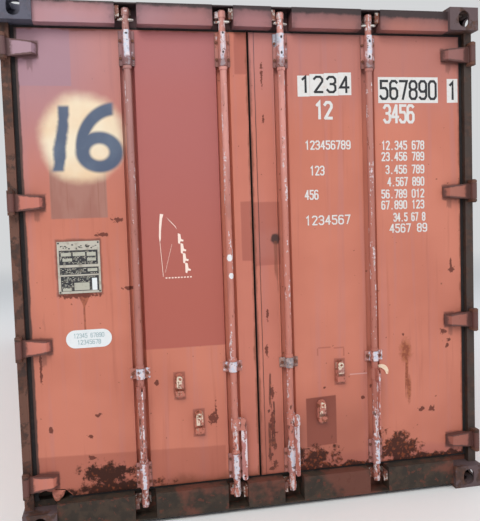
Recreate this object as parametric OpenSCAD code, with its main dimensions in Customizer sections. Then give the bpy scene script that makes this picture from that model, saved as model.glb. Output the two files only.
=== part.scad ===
// Twenty-foot steel shipping container with two working doors.
// Millimetres. X runs across, Y runs into the container, Z is up.
// The origin is the bottom centre. The doors are at the low-Y end.

/* [Overall] */
// length over the corner castings
length = 6058; // [5200:1:7400]
// width over the corner castings
width = 2438; // [2400:1:2500]
// height over the corner castings
height = 2591; // [2500:1:2900]
// how far the side and end sheets sit inside the casting faces
inset = 6; // [4:0.5:10]

/* [Corner castings] */
// casting size across the container
cast_w = 162; // [155:1:170]
// casting size along the container
cast_l = 178; // [170:1:185]
// casting height
cast_h = 118; // [112:1:124]
// thickness of the plate with the vertical aperture
cast_plate = 28.5; // [20:0.5:32]
// thickness of the other casting walls
cast_wall = 15; // [10:0.5:20]
// vertical aperture length
ap_l = 124.5; // [120:0.5:128]
// vertical aperture width
ap_w = 63.5; // [60:0.5:66]
// vertical aperture centre from the end face
ap_end_in = 102.5; // [98:0.5:106]
// vertical aperture centre from the side face
ap_side_in = 89.5; // [86:0.5:93]
// end aperture width
end_ap_w = 62; // [50:0.5:66]
// end aperture height
end_ap_h = 84; // [70:0.5:88]
// side aperture length
side_ap_l = 80; // [60:0.5:90]
// side aperture height
side_ap_h = 52; // [40:0.5:64]

/* [Door end frame] */
// post width across the container
post_w = 43; // [40:0.5:60]
// post depth along the container
post_d = 117; // [90:1:117]
// post front face behind the casting face
post_in = 62; // [60:0.5:70]
// post plate thickness
post_t = 6; // [4:0.5:10]
// width of the blind end posts
blind_post_w = 130; // [120:1:134]
// lips of the blind end posts
blind_lip = 40; // [34:1:42]
// header and sill face behind the casting face
beam_in = 24; // [15:0.5:30]
// header and sill plate thickness
beam_t = 5; // [3:0.5:8]
// header underside below the castings
header_below = 2; // [1:0.5:30]
// header top below the casting top
header_drop = 18; // [12:1:30]
// sill top above the casting foot
sill_top = 150; // [140:1:165]
// sill underside above the casting foot
sill_foot = 20; // [12:1:30]
// half width of the keeper pockets
pocket_hw = 53; // [52.5:0.5:60]
// pocket depth from the beam face
pocket_d = 93; // [85:1:100]

/* [Doors] */
// hinge pin centre from the side of the container
pin_side = 22; // [20:0.5:26]
// hinge pin centre behind the casting face
pin_in = 22; // [20:0.5:24]
// door face behind the hinge pin
face_v = 62; // [58:0.5:64]
// door thickness
leaf_t = 50; // [40:1:60]
// door edge inboard of the hinge pin
leaf_edge = 48; // [44:0.5:56]
// door gap over the sill
foot_gap = 10; // [8:0.5:16]
// door gap under the header
head_gap = 10; // [8:0.5:16]
// half of the gap between the two doors
seam_half = 5.5; // [5:0.5:8]
// middle of the door gap, left of the centre line
seam_off = 18; // [0:0.5:24]
// width of the bar along the free edge of the right door
edge_bar_w = 24; // [15:1:30]
// thickness of that bar
edge_bar_t = 3; // [2:0.5:5]
// width of the door stiles
stile_w = 50; // [40:1:80]
// height of the door rails
rail_h = 100; // [80:1:120]
// wall of the door frame tubes
tube_t = 3.5; // [2.5:0.5:6]
// door panel sheet
sheet_t = 2; // [1.5:0.5:4]
// depth of the pressed channel behind each lock rod
chan_d = 32; // [20:1:40]
// width of the channel at the door face
chan_w = 72; // [66:1:76]
// width of the channel floor
chan_floor = 46; // [40:1:60]
// width of the seal strip
seal_d = 30; // [20:1:36]
// how far the seals reach into the gap between the doors
seal_lip = 2; // [1:0.5:3]

/* [Hinges] */
// lowest hinge above the casting foot
hinge_foot = 252; // [230:1:300]
// highest hinge below the casting top
hinge_head = 235; // [200:1:280]
// from the lowest hinge to the next
hinge_low = 673; // [600:1:720]
// from the highest hinge to the next
hinge_up = 729; // [650:1:760]
// hinge blade height at the pin
blade_h = 84; // [70:1:100]
// hinge blade height at the far end
blade_end_h = 56; // [40:1:80]
// flat length of the blade from the pin
blade_flat = 128; // [110:1:136]
// full length of the blade from the pin
blade_len = 152; // [144:1:175]
// blade front face behind the pin centre
blade_v = 21; // [21:0.5:23]
// blade thickness
blade_t = 14; // [8:0.5:14]
// barrel radius
barrel_r = 16; // [13:0.5:16]
// hinge pin radius
pin_r = 10; // [8:0.5:11]
// clearance round the hinge pin
pin_clear = 0.5; // [0.3:0.1:1]
// thickness of the lugs on the post
lug_t = 15; // [10:1:20]
// gap between blade and lug
lug_gap = 1.5; // [1:0.1:3]

/* [Lock rods] */
// outer lock rods from the centre line
rod_out = 625; // [600:1:640]
// inner lock rods from the centre line
rod_in = 150; // [130:1:170]
// rod radius
rod_r = 17; // [14:0.5:17]
// rod centre behind the hinge pin
rod_v = 43; // [42:0.5:44]
// rod top below the header top
rod_top_in = 18; // [14:1:40]
// rod foot above the sill underside
rod_foot_up = 54; // [45:1:65]
// upper cam foot below the header top
cam_top_in = 53; // [52:1:60]
// cam height
cam_h = 30; // [20:1:34]
// cam nose offset from the rod centre
cam_off = 28; // [26:0.5:28]
// cam nose radius
cam_r = 10; // [8:0.5:10]
// keeper height
keeper_h = 52; // [44:1:56]
// height of the hubs on the outer rods
hub_out_z = 662; // [640:1:700]
// height of the hubs on the inner rods
hub_in_z = 455; // [455:1:500]
// handle bolt centre from the rod centre
bolt_off = 45; // [42:0.5:46]
// hub height
hub_h = 62; // [50:1:70]
// how far rod 1 stands open from its locked place
open_1 = 88; // [60:1:94]
// how far rod 2 stands open from its locked place
open_2 = 165; // [140:1:180]
// how far rod 3 stands open from its locked place
open_3 = 62; // [60:1:90]
// how far rod 4 stands open from its locked place
open_4 = 94; // [86:1:104]
// clearance between rod and bracket
rod_clear = 1; // [0.5:0.1:2]
// half width of the end brackets
strap_hw = 39; // [38:0.5:48]
// height of the upper brackets
strap_top_h = 167; // [120:1:180]
// height of the lower brackets
strap_foot_h = 128; // [100:1:150]
// half width of the middle guides
guide_hw = 50; // [42:0.5:60]
// height of the middle guides
guide_h = 52; // [40:1:60]
// middle guides above the outer hubs
guide_up = 95; // [85:1:120]

/* [Handles and catches] */
// handle length from bolt to end centre
handle_l = 284; // [200:1:284]
// handle bar width
handle_w = 28; // [20:1:28]
// handle bar thickness
handle_t = 8; // [6:0.5:8]
// retainer place of handle 1 from the centre line
keep_x1 = 429; // [415:1:445]
// retainer height for handle 1
keep_z1 = 668; // [655:1:680]
// retainer place of handle 2 from the centre line
keep_x2 = 335; // [320:1:350]
// retainer height for handle 2
keep_z2 = 468; // [455:1:480]
// retainer place of handle 3 from the centre line
keep_x3 = 325; // [310:1:340]
// retainer height for handle 3
keep_z3 = 468; // [455:1:480]
// retainer place of handle 4 from the centre line
keep_x4 = 432; // [418:1:446]
// retainer height for handle 4
keep_z4 = 675; // [660:1:685]
// width of the retainer base
keep_w = 46; // [40:1:60]
// width of the catch plate
catch_w = 34; // [28:1:40]

/* [Torn corner] */
// length of the torn lower corner
tear_l = 170; // [140:1:190]
// height of the torn lower corner
tear_h = 44; // [36:1:48]

/* [Walls and roof] */
// corrugation depth
cor_d = 38; // [37:0.5:39]
// corrugation pitch
cor_p = 229; // [225:1:233]
// flat outer crest
cor_crest = 72; // [50:1:90]
// flat inner trough
cor_trough = 70; // [50:1:90]
// side sheet
wall_t = 2; // [1.6:0.1:4]
// top side rail size
top_rail = 60; // [50:1:80]
// top side rail wall
top_rail_t = 3; // [2:0.5:5]
// length of the vent covers
vent_l = 270; // [235:1:290]
// height of the vent covers
vent_h = 90; // [80:1:110]
// vent covers below the top rail
vent_in = 100; // [60:1:200]
// roof sheet
roof_t = 2; // [1.6:0.1:4]
// roof rib height
rib_h = 18; // [10:1:20]
// roof rib pitch
rib_p = 209; // [190:1:240]

/* [Base] */
// top of the floor
floor_z = 170; // [168:1:171]
// floor board thickness
board_t = 28; // [26:1:30]
// bottom side rail underside
rail_foot = 14; // [10:1:18]
// bottom side rail top
rail_top = 150; // [148:1:155]
// bottom side rail plate
rail_t = 4.5; // [3:0.5:6]
// bottom side rail flange
rail_w = 42; // [38:1:44]
// underside of the bearers and fork pockets
under_z = 20; // [19:0.5:22]
// cross member flange width
bearer_w = 45; // [40:1:60]
// cross member plate
bearer_t = 4; // [3:0.5:6]
// fork pocket length
fork_l = 360; // [340:1:380]
// fork pocket height
fork_h = 115; // [100:1:116]
// fork pocket plate
fork_t = 6; // [4:0.5:8]
// plate under each mouth of a fork pocket
fork_skirt = 200; // [120:1:300]
// distance between the fork pocket centres
fork_cc = 2050; // [1900:1:2100]
// bearer beside a fork pocket
bearer_off = 60; // [50:1:80]
// clear length at each end of the base
bearer_in = 240; // [220:1:260]
// gap between the floor and the closed doors
floor_gap = 26; // [24:1:40]
// floor short of the blind end
floor_in = 90; // [80:1:100]

/* [Hidden] */
$fn = 48;
hw = width / 2;
hl = length / 2;
end_y = -hl;
side_x = hw - inset;
cast_x = hw - cast_w;
pin_x = hw - pin_side;
pin_y = end_y + pin_in;
face_y = pin_y + face_v;
back_y = face_y + leaf_t;
post_y = end_y + post_in;
post_x = side_x - post_w;
post_back = post_y + post_d;
beam_y = end_y + beam_in;
pocket_y = beam_y + pocket_d;
beam_back = pocket_y + 8;
header_top = height - header_drop;
header_foot = height - cast_h - header_below;
leaf_x = pin_x - leaf_edge;
left_in = seam_half + seam_off;
right_in = seam_half - seam_off;
leaf_foot = sill_top + foot_gap + 3;
leaf_top = header_foot - head_gap - 3;
rod_y = pin_y + rod_v;
rod_top = header_top - rod_top_in;
rod_foot = sill_foot + rod_foot_up;
cam_top_z = header_top - cam_top_in;
cam_foot_z = sill_top - 65;
rods_x = [-rod_out, -rod_in, rod_in, rod_out];
rods_side = [1, -1, 1, -1];
rods_open = [open_1, open_2, open_3, open_4];
hubs_z = [hub_out_z, hub_in_z, hub_in_z, hub_out_z];
keeps_x = [-keep_x1, -keep_x2, keep_x3, keep_x4];
keeps_z = [keep_z1, keep_z2, keep_z3, keep_z4];
guide_z = hub_out_z + guide_up;
hinge_z = [hinge_foot, hinge_foot + hinge_low, height - hinge_head - hinge_up, height - hinge_head];
mid_y = pin_y + 4.5;
rail_end = post_back;
wall_foot = rail_top;
wall_top = header_top - top_rail;
cor_slope = (cor_p - cor_crest - cor_trough) / 2;
// wall troughs lie where handles 1, 3 and 4 hang with the doors swung right back
hang_1 = pin_y + pin_x - rod_out + bolt_off * cos(open_1);
hang_3 = pin_y + pin_x - rod_in - bolt_off * cos(open_3);
bearer_h = floor_z - board_t - under_z;
fork_out = fork_cc / 2 + fork_l / 2;
steel = [0.72, 0.44, 0.36];
dark = [0.36, 0.25, 0.21];
bare = [0.62, 0.58, 0.54];
wood = [0.55, 0.42, 0.28];
black = [0.10, 0.09, 0.09];

// Shapes used by several pieces

module both_sides() {
    children();
    mirror([1, 0, 0]) children();
}

module both_ends() {
    children();
    mirror([0, 1, 0]) children();
}

module obround(l, w, h) {
    linear_extrude(height = h) {
        square([w, l - w], center = true);
        translate([0, (l - w) / 2]) circle(d = w);
        translate([0, -(l - w) / 2]) circle(d = w);
    }
}

module block(x0, x1, y0, y1, z0, z1) {
    translate([x0, y0, z0]) cube([x1 - x0, y1 - y0, z1 - z0]);
}

module tube_box(x0, x1, y0, y1, z0, z1, t) {
    difference() {
        block(x0, x1, y0, y1, z0, z1);
        block(x0 + t, x1 - t, y0 + t, y1 - t, z0 + t, z1 - t);
    }
}

// Corner castings

module casting() {
    difference() {
        cube([cast_w, cast_l, cast_h]);
        block(cast_wall, cast_w - cast_wall, cast_wall, cast_l - cast_wall,
            cast_plate, cast_h - cast_wall);
        translate([ap_side_in, ap_end_in, -1]) obround(ap_l, ap_w, cast_plate + 2);
        translate([ap_side_in - 8, cast_wall + 1, cast_h / 2])
            rotate([90, 0, 0]) obround(end_ap_h, end_ap_w, cast_wall + 2);
        translate([-1, ap_end_in - 10, cast_h / 2])
            rotate([0, 90, 0]) obround(side_ap_l, side_ap_h, cast_wall + 2);
    }
}

module casting_pair() {
    translate([-hw, end_y, 0]) casting();
    translate([-hw, end_y, height]) mirror([0, 0, 1]) casting();
}

module castings_door_end() color(dark) both_sides() casting_pair();

module castings_blind_end() color(dark) mirror([0, 1, 0]) both_sides() casting_pair();

// Corner posts

module door_post() {
    tube_box(post_x, side_x, post_y, post_back, cast_h, height - cast_h, post_t);
}

module left_door_post() color(dark) mirror([1, 0, 0]) door_post();

module right_door_post() color(dark) door_post();

module blind_post() {
    y1 = hl - beam_in;
    x1 = side_x - blind_post_w + post_t;
    translate([0, 0, cast_h]) linear_extrude(height = height - 2 * cast_h)
        polygon([[side_x, -rail_end], [side_x, y1], [side_x - blind_post_w, y1],
            [side_x - blind_post_w, y1 - blind_lip], [x1, y1 - blind_lip], [x1, y1 - post_t],
            [side_x - post_t, y1 - post_t], [side_x - post_t, -rail_end + post_t],
            [side_x - blind_lip, -rail_end + post_t], [side_x - blind_lip, -rail_end]]);
}

module blind_end_posts() color(steel) both_sides() blind_post();

// Header and sill, each a row of closed boxes with a pocket at each rod

function beam_cuts() = [-cast_x, rods_x[0] - pocket_hw, rods_x[0] + pocket_hw,
    rods_x[1] - pocket_hw, rods_x[1] + pocket_hw, rods_x[2] - pocket_hw,
    rods_x[2] + pocket_hw, rods_x[3] - pocket_hw, rods_x[3] + pocket_hw, cast_x];

module beam_boxes(z0, z1) {
    c = beam_cuts();
    for (i = [0 : 4])
        tube_box(c[2 * i], c[2 * i + 1], beam_y, pocket_y + 1, z0, z1, beam_t);
}

module door_header() color(steel) {
    beam_boxes(header_foot, header_top);
    block(-cast_x, cast_x, pocket_y, beam_back, header_foot, header_top);
    block(-cast_x, cast_x, beam_y + 6, -hl + cast_l, header_top - 6, header_top);
    block(-cast_x, cast_x, beam_back - 1, post_back, header_foot, header_foot + 6);
    both_sides() block(cast_x - 1, post_x, beam_back - 20, post_back, header_foot, height - cast_h);
    block(-post_x, post_x, post_back - 6, post_back, header_foot, height - cast_h);
    block(-cast_x, cast_x, post_back - 6, post_back, header_foot, header_top);
}

module door_sill() color(dark) {
    difference() {
        union() {
            beam_boxes(sill_foot, sill_top);
            block(-cast_x, cast_x, pocket_y, beam_back, sill_foot, sill_top);
            block(-cast_x, cast_x, beam_y + 1, beam_back, sill_foot, sill_foot + 6);
        }
    }
    block(-post_x, post_x, beam_back - 1, back_y + 25, sill_top - 6, sill_top);
    block(-post_x, post_x, back_y + 15, back_y + 25, sill_top - 1, floor_z);
    both_sides() block(cast_x, post_x, beam_back - 20, back_y + 25, cast_h, sill_top);
}

// Blind end rails

module blind_end_top_rail() color(steel)
    tube_box(-cast_x, cast_x, hl - beam_in - top_rail, hl - beam_in, header_top - top_rail, header_top,
        top_rail_t);

module blind_end_bottom_rail() color(steel) difference() {
    block(-cast_x, cast_x, hl - beam_in - 60, hl - beam_in, rail_foot, rail_top);
    block(-cast_x - 1, cast_x + 1, hl - beam_in - 61, hl - beam_in - rail_t, rail_foot + rail_t,
        rail_top - rail_t);
}

// Side rails

module top_side_rails() color(steel) both_sides()
    tube_box(side_x - top_rail, side_x, rail_end, -rail_end, header_top - top_rail, header_top,
        top_rail_t);

module side_rail() {
    difference() {
        block(side_x - rail_w, side_x, rail_end, -rail_end, rail_foot, rail_top);
        block(side_x - rail_w - 1, side_x - rail_t, rail_end - 1, -rail_end + 1, rail_foot + rail_t,
            rail_top - rail_t);
        both_ends() block(side_x - rail_w - 2, side_x + 1, fork_cc / 2 - fork_l / 2,
            fork_cc / 2 + fork_l / 2, under_z, under_z + fork_h);
    }
}

module bottom_side_rails() color(steel) both_sides() side_rail();

// Base

module bearer(y) {
    translate([0, y, under_z]) difference() {
        block(-(side_x - rail_t), side_x - rail_t, -bearer_w / 2, bearer_w / 2, 0, bearer_h);
        block(-hw, hw, -bearer_w / 2 + bearer_t, bearer_w, bearer_t, bearer_h - bearer_t);
    }
}

module cross_members() color(dark) {
    step = (fork_cc - fork_l - 2 * bearer_off) / 5;
    for (i = [-2 : 2]) bearer(i * step);
    both_ends() for (i = [0 : 4])
        bearer(fork_out + bearer_off + i * (hl - bearer_in - fork_out) / 4.9);
}

module fork_pocket() {
    y0 = fork_cc / 2 - fork_l / 2;
    y1 = fork_cc / 2 + fork_l / 2;
    x1 = side_x - rail_t;
    z1 = floor_z - board_t;
    difference() {
        block(-x1, x1, y0 - fork_t, y1 + fork_t, rail_foot + rail_t + 1, z1);
        block(-hw, hw, y0, y1, under_z, under_z + fork_h);
        block(-x1 + fork_skirt, x1 - fork_skirt, y0 + fork_t, y1 - fork_t, rail_foot, under_z + 1);
    }
}

module fork_pockets() color(dark) both_ends() fork_pocket();

module floor_boards() color(wood) {
    y0 = back_y + floor_gap;
    y1 = hl - floor_in;
    n = 5;
    step = (y1 - y0) / n;
    for (i = [0 : n - 1])
        block(-(side_x - rail_w - 2), side_x - rail_w - 2, y0 + i * step, y0 + (i + 1) * step - 2,
            floor_z - board_t, floor_z);
}

// Corrugated walls. One period is crest, slope, trough, slope

function wave(m) = m == 0 ? [-cor_crest / 2, 0] : m == 1 ? [cor_crest / 2, 0]
    : m == 2 ? [cor_crest / 2 + cor_slope, cor_d]
    : [cor_crest / 2 + cor_slope + cor_trough, cor_d];

function wave_line(n, start) = [for (i = [0 : n - 1]) for (m = [0 : 3])
    wave(m) + [start + i * cor_p, 0]];

module wave_profile(n, start, lo, hi, t) {
    line = wave_line(n, start);
    back = [for (i = [len(line) - 1 : -1 : 0]) line[i] + [0, t]];
    intersection() {
        polygon(concat(line, back));
        translate([lo, -1]) square([hi - lo, cor_d + t + 2]);
    }
}

module side_wall(hang) {
    crest = hang - cor_p / 2;
    start = crest - (ceil((crest - rail_end) / cor_p) + 1) * cor_p;
    n = ceil((-rail_end - start) / cor_p) + 1;
    translate([side_x, 0, wall_foot]) linear_extrude(height = wall_top - wall_foot)
        rotate(90) wave_profile(n, start, rail_end, -rail_end, wall_t);
}

module left_wall() color(steel) mirror([1, 0, 0]) side_wall(hang_1);

module right_wall() color(steel) side_wall(hang_3);

module blind_end_wall() color(steel) {
    half = side_x - 130;
    n = 2 * ceil(half / cor_p) + 2;
    difference() {
        translate([0, hl - beam_in, rail_top]) linear_extrude(height = wall_top - rail_top)
            mirror([0, 1]) wave_profile(n, -n / 2 * cor_p, -half, half, wall_t);
        both_sides() block(cast_x, hw, hl - cast_l, hl, height - cast_h, height);
    }
}

// Roof sheet with pressed ribs

module rib_shape(h, g) {
    polygon([[-45 + g, 0], [45 - g, 0], [22 - g / 2, h], [-22 + g / 2, h]]);
}

module roof_sheet() color(steel) {
    half = side_x - top_rail;
    z0 = header_top - 6;
    y0 = post_back;
    y1 = -y0;
    n = floor((y1 - y0 - 200) / rib_p);
    first = -(n - 1) * rib_p / 2;
    difference() {
        block(-half, half, y0, y1, z0 - roof_t, z0);
        for (i = [0 : n - 1])
            translate([-half + 60 + roof_t, first + i * rib_p, z0 - roof_t - 1])
                cube([2 * half - 120 - 2 * roof_t, 90 - 2 * roof_t, roof_t + 2]);
    }
    for (i = [0 : n - 1])
        translate([-half + 60, first + i * rib_p + 45 - roof_t, z0 - roof_t])
            rotate([90, 0, 90]) difference() {
                linear_extrude(height = 2 * half - 120) rib_shape(rib_h, 0);
                translate([0, -roof_t, roof_t]) linear_extrude(height = 2 * half - 120 - 2 * roof_t)
                    rib_shape(rib_h, roof_t);
            }
    block(-cast_x, cast_x, y1 - 0.5, hl - beam_in - top_rail, z0 - roof_t, z0);
}

// Lugs on the posts that carry the hinge pins

module lug_plate(z) {
    translate([0, 0, z]) difference() {
        union() {
            translate([pin_x, pin_y, 0]) cylinder(r = barrel_r, h = lug_t);
            block(pin_x - barrel_r, pin_x + barrel_r, pin_y, post_y, 0, lug_t);
        }
        translate([pin_x, pin_y, -1]) cylinder(r = pin_r, h = lug_t + 2);
    }
}

module lug_set(z) {
    lug_plate(z + blade_h / 2 + lug_gap);
    lug_plate(z - blade_h / 2 - lug_gap - lug_t);
    translate([pin_x, pin_y, z - blade_h / 2 - lug_gap - lug_t - 4])
        cylinder(r = pin_r, h = blade_h + 2 * lug_gap + 2 * lug_t + 8);
}

module hinge_lugs() color(dark) both_sides() for (z = hinge_z) lug_set(z);

// Keepers hook in front of the cam noses

module keeper(z) {
    y0 = rod_y - 25;
    block(-30, 52, pocket_y - 8, pocket_y, z, z + keeper_h);
    block(43, 52, y0, pocket_y, z, z + keeper_h);
    block(31, 52, y0, y0 + 10, z, z + keeper_h);
}

module cam_keepers() color(bare) for (i = [0 : 3])
    translate([rods_x[i], 0, 0]) mirror([rods_side[i] > 0 ? 1 : 0, 0, 0]) {
        keeper(cam_top_z + cam_h / 2 - keeper_h / 2);
        keeper(cam_foot_z + cam_h / 2 - keeper_h / 2);
    }

// Vent covers bridge two crests of each side wall

module vent_cover(yc) {
    z0 = wall_top - vent_in - vent_h;
    difference() {
        block(side_x, side_x + 5, yc - vent_l / 2, yc + vent_l / 2, z0, z0 + vent_h);
        for (k = [0 : 3])
            block(side_x - 1, side_x + 6, yc - vent_l / 3, yc + vent_l / 3,
                z0 + 14 + k * 18, z0 + 20 + k * 18);
    }
}

module wall_vents() color(steel) {
    vent_cover(hang_3 + 18 * cor_p);
    vent_cover(hang_3 + 2 * cor_p);
    mirror([1, 0, 0]) vent_cover(hang_1 + 20 * cor_p);
    mirror([1, 0, 0]) vent_cover(hang_1 + 4 * cor_p);
}

// Doors, drawn on the right and mirrored for the left

module leaf_frame(e) {
    difference() {
        block(e, leaf_x, face_y, back_y, leaf_foot, leaf_top);
        block(e + stile_w, leaf_x - stile_w, face_y - 1, back_y + 1,
            leaf_foot + rail_h, leaf_top - rail_h);
        block(e + tube_t, e + stile_w - tube_t, face_y + tube_t,
            back_y - tube_t, leaf_foot + rail_h, leaf_top - rail_h);
        block(leaf_x - stile_w + tube_t, leaf_x - tube_t, face_y + tube_t,
            back_y - tube_t, leaf_foot + rail_h, leaf_top - rail_h);
        block(e + tube_t, leaf_x - tube_t, face_y + tube_t, back_y - tube_t,
            leaf_foot + tube_t, leaf_foot + rail_h - tube_t);
        block(e + tube_t, leaf_x - tube_t, face_y + tube_t, back_y - tube_t,
            leaf_top - rail_h + tube_t, leaf_top - tube_t);
    }
}

function panel_line(x0, x1) = [[x0, 0], [rod_in - chan_w / 2, 0], [rod_in - chan_floor / 2, chan_d],
    [rod_in + chan_floor / 2, chan_d], [rod_in + chan_w / 2, 0], [rod_out - chan_w / 2, 0],
    [rod_out - chan_floor / 2, chan_d], [rod_out + chan_floor / 2, chan_d],
    [rod_out + chan_w / 2, 0], [x1, 0]];

module leaf_panel(e) {
    line = panel_line(e + stile_w, leaf_x - stile_w);
    back = [for (i = [len(line) - 1 : -1 : 0]) line[i] + [0, sheet_t]];
    translate([0, face_y, leaf_foot + rail_h])
        linear_extrude(height = leaf_top - leaf_foot - 2 * rail_h) polygon(concat(line, back));
}

module leaf_gasket(e) {
    y0 = face_y + 8;
    y1 = y0 + seal_d;
    difference() {
        block(e - seal_lip, post_x - 1, y0, y1, sill_top + 1, header_foot - 1);
        block(e, leaf_x, y0 - 1, y1 + 1, leaf_foot, leaf_top);
    }
}

module blade() {
    v0 = blade_v;
    v1 = blade_v + blade_t;
    difference() {
        intersection() {
            translate([0, 0, -blade_h / 2]) linear_extrude(height = blade_h)
                polygon([[0, v0 - 5], [14, v0], [blade_flat, v0], [blade_len, face_v - 6],
                    [blade_len, face_v], [58, face_v], [34, v1], [8, v1], [0, v1 - 19]]);
            rotate([-90, 0, 0]) linear_extrude(height = 100)
                polygon([[-20, -blade_h / 2], [16, -blade_h / 2],
                    [blade_len, -blade_end_h / 2], [blade_len, blade_end_h / 2],
                    [16, blade_h / 2], [-20, blade_h / 2]]);
        }
        translate([0, 0, -blade_end_h / 2 + 7]) linear_extrude(height = blade_end_h - 14)
            polygon([[58, v1], [blade_flat - 10, v1], [blade_len - 16, face_v + 1],
                [68, face_v + 1], [58, face_v - 14]]);
        translate([0, 0, -blade_h]) cylinder(r = pin_r + pin_clear, h = 2 * blade_h);
    }
    difference() {
        translate([0, 0, -blade_h / 2]) cylinder(r = barrel_r, h = blade_h);
        translate([0, 0, -blade_h]) cylinder(r = pin_r + pin_clear, h = 2 * blade_h);
    }
}

module leaf_hinges() {
    for (z = hinge_z) translate([pin_x, pin_y, z]) mirror([1, 0, 0]) blade();
}

// A strap bracket holds a rod to the door face and is open behind the rod

module strap(x, z0, z1, half, t) {
    r = rod_r + rod_clear;
    translate([x, 0, z0]) difference() {
        union() {
            block(-half, half, face_y - t, face_y, 0, z1 - z0);
            translate([0, rod_y, 0]) cylinder(r = r + 4, h = z1 - z0);
            block(-r - 4, r + 4, rod_y, face_y, 0, z1 - z0);
        }
        translate([0, rod_y, -1]) cylinder(r = r, h = z1 - z0 + 2);
        block(-r, r, rod_y, face_y + 30, -1, z1 - z0 + 1);
    }
}

module rod_straps(x) {
    strap(x, leaf_top - 8 - strap_top_h, leaf_top - 8, strap_hw, 6);
    strap(x, guide_z - guide_h / 2, guide_z + guide_h / 2, guide_hw, 6);
    strap(x, leaf_foot + 6, leaf_foot + 6 + strap_foot_h, strap_hw, 6);
}

module retainer(x, z) {
    translate([x, 0, z]) {
        translate([0, face_y, 7]) rotate([90, 0, 0]) obround(130, keep_w, 6);
        block(-keep_w / 2, keep_w / 2, rod_y - 9, face_y - 6, -42, -30);
        block(-keep_w / 2, keep_w / 2, rod_y - 14, rod_y - 9, -42, -14);
        translate([0, face_y - 5, 48]) rotate([90, 0, 0]) cylinder(r = 6, h = face_y - rod_y + 10.5);
    }
}

// The lower corner by the lowest hinge of the left door is torn away
module torn_corner() {
    translate([0, back_y + 5, 0]) rotate([90, 0, 0]) linear_extrude(height = leaf_t + 10)
        polygon([[-leaf_x - 5, leaf_foot - 5], [-leaf_x - 5, leaf_foot + 0.59 * tear_h],
            [-leaf_x + 0.20 * tear_l, leaf_foot + 0.91 * tear_h],
            [-leaf_x + 0.36 * tear_l, leaf_foot + 0.68 * tear_h],
            [-leaf_x + 0.52 * tear_l, leaf_foot + tear_h],
            [-leaf_x + 0.77 * tear_l, leaf_foot + 0.84 * tear_h],
            [-leaf_x + 0.93 * tear_l, leaf_foot + 0.27 * tear_h],
            [-leaf_x + tear_l, leaf_foot - 5]]);
}

module left_door_frame() color(steel) difference() {
    mirror([1, 0, 0]) leaf_frame(left_in);
    torn_corner();
}

module left_door_panel() color(steel) mirror([1, 0, 0]) leaf_panel(left_in);

module left_door_gasket() color(black) difference() {
    mirror([1, 0, 0]) leaf_gasket(left_in);
    block(-leaf_x + 4, -leaf_x + tear_l - 20, face_y, back_y, sill_top, leaf_foot + 1);
}

module left_door_hinges() color(steel) mirror([1, 0, 0]) leaf_hinges();

module left_rod_brackets() color(bare) mirror([1, 0, 0]) {
    rod_straps(rod_out);
    rod_straps(rod_in);
}

module left_handle_retainers() color(bare) {
    retainer(keeps_x[0], keeps_z[0]);
    retainer(keeps_x[1], keeps_z[1]);
}

module right_door_frame() color(steel) {
    leaf_frame(right_in);
    block(right_in, right_in + edge_bar_w, face_y - edge_bar_t, face_y + 1, leaf_foot, leaf_top);
}

module right_door_panel() color(steel) leaf_panel(right_in);

module right_door_gasket() color(black) leaf_gasket(right_in);

module right_door_hinges() color(steel) leaf_hinges();

module right_rod_brackets() color(bare) {
    rod_straps(rod_out);
    rod_straps(rod_in);
}

module right_handle_retainers() color(bare) {
    retainer(keeps_x[2], keeps_z[2]);
    retainer(keeps_x[3], keeps_z[3]);
}

// Lock rods stand part open, as found. Side is where the hub points when locked

module rod_place(i) {
    translate([rods_x[i], rod_y, 0]) rotate([0, 0, -rods_side[i] * rods_open[i]])
        mirror([rods_side[i] > 0 ? 0 : 1, 0, 0]) children();
}

module cam(z) {
    translate([0, 0, z]) linear_extrude(height = cam_h) {
        circle(r = rod_r + 3);
        translate([-cam_off, -cam_r]) square([cam_off, 2 * cam_r]);
        translate([-cam_off, 0]) circle(r = cam_r);
    }
}

module hub(z) {
    translate([0, 0, z - hub_h / 2]) {
        cylinder(r = rod_r + 5, h = hub_h);
        cheek(5);
        cheek(-10);
    }
    translate([bolt_off, 12, z]) rotate([90, 0, 0]) cylinder(r = 5, h = 24);
}

module cheek(y0) {
    translate([0, y0 + 5, hub_h / 2]) rotate([90, 0, 0]) linear_extrude(height = 5) {
        translate([5, -hub_h / 2]) square([bolt_off - 5, hub_h]);
        translate([bolt_off - 1, -hub_h / 2 + 14]) square([15, hub_h - 28]);
        translate([bolt_off, -hub_h / 2 + 14]) circle(r = 14);
        translate([bolt_off, hub_h / 2 - 14]) circle(r = 14);
    }
}

module lock_rod(i) {
    rod_place(i) {
        difference() {
            translate([0, 0, rod_foot]) cylinder(r = rod_r, h = rod_top - rod_foot);
            translate([0, 0, rod_foot + 60]) cylinder(r = rod_r - 4, h = rod_top - rod_foot - 120);
        }
        cam(cam_top_z);
        cam(cam_foot_z);
        hub(hubs_z[i]);
        translate([0, 0, guide_z + guide_h / 2 + 3]) cylinder(r = rod_r + 4, h = 14);
        translate([0, 0, leaf_foot + strap_foot_h + 10]) cylinder(r = rod_r + 4, h = 14);
        translate([0, 0, leaf_top - strap_top_h - 25]) cylinder(r = rod_r + 4, h = 14);
    }
}

module lock_rod_1() color(steel) lock_rod(0);

module lock_rod_2() color(steel) lock_rod(1);

module lock_rod_3() color(steel) lock_rod(2);

module lock_rod_4() color(steel) lock_rod(3);

// Handles hang from the hub bolts

module handle(i) {
    rod_place(i) translate([bolt_off, handle_t / 2, hubs_z[i]]) rotate([90, 0, 0])
        linear_extrude(height = handle_t) difference() {
            union() {
                translate([0, -handle_l]) circle(d = handle_w);
                translate([-handle_w / 2, -handle_l]) square([handle_w, handle_l]);
                circle(d = handle_w);
            }
            circle(r = 5.5);
            translate([0, -handle_l + 6]) circle(r = 6);
        }
}

module handle_1() color(bare) handle(0);

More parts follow.
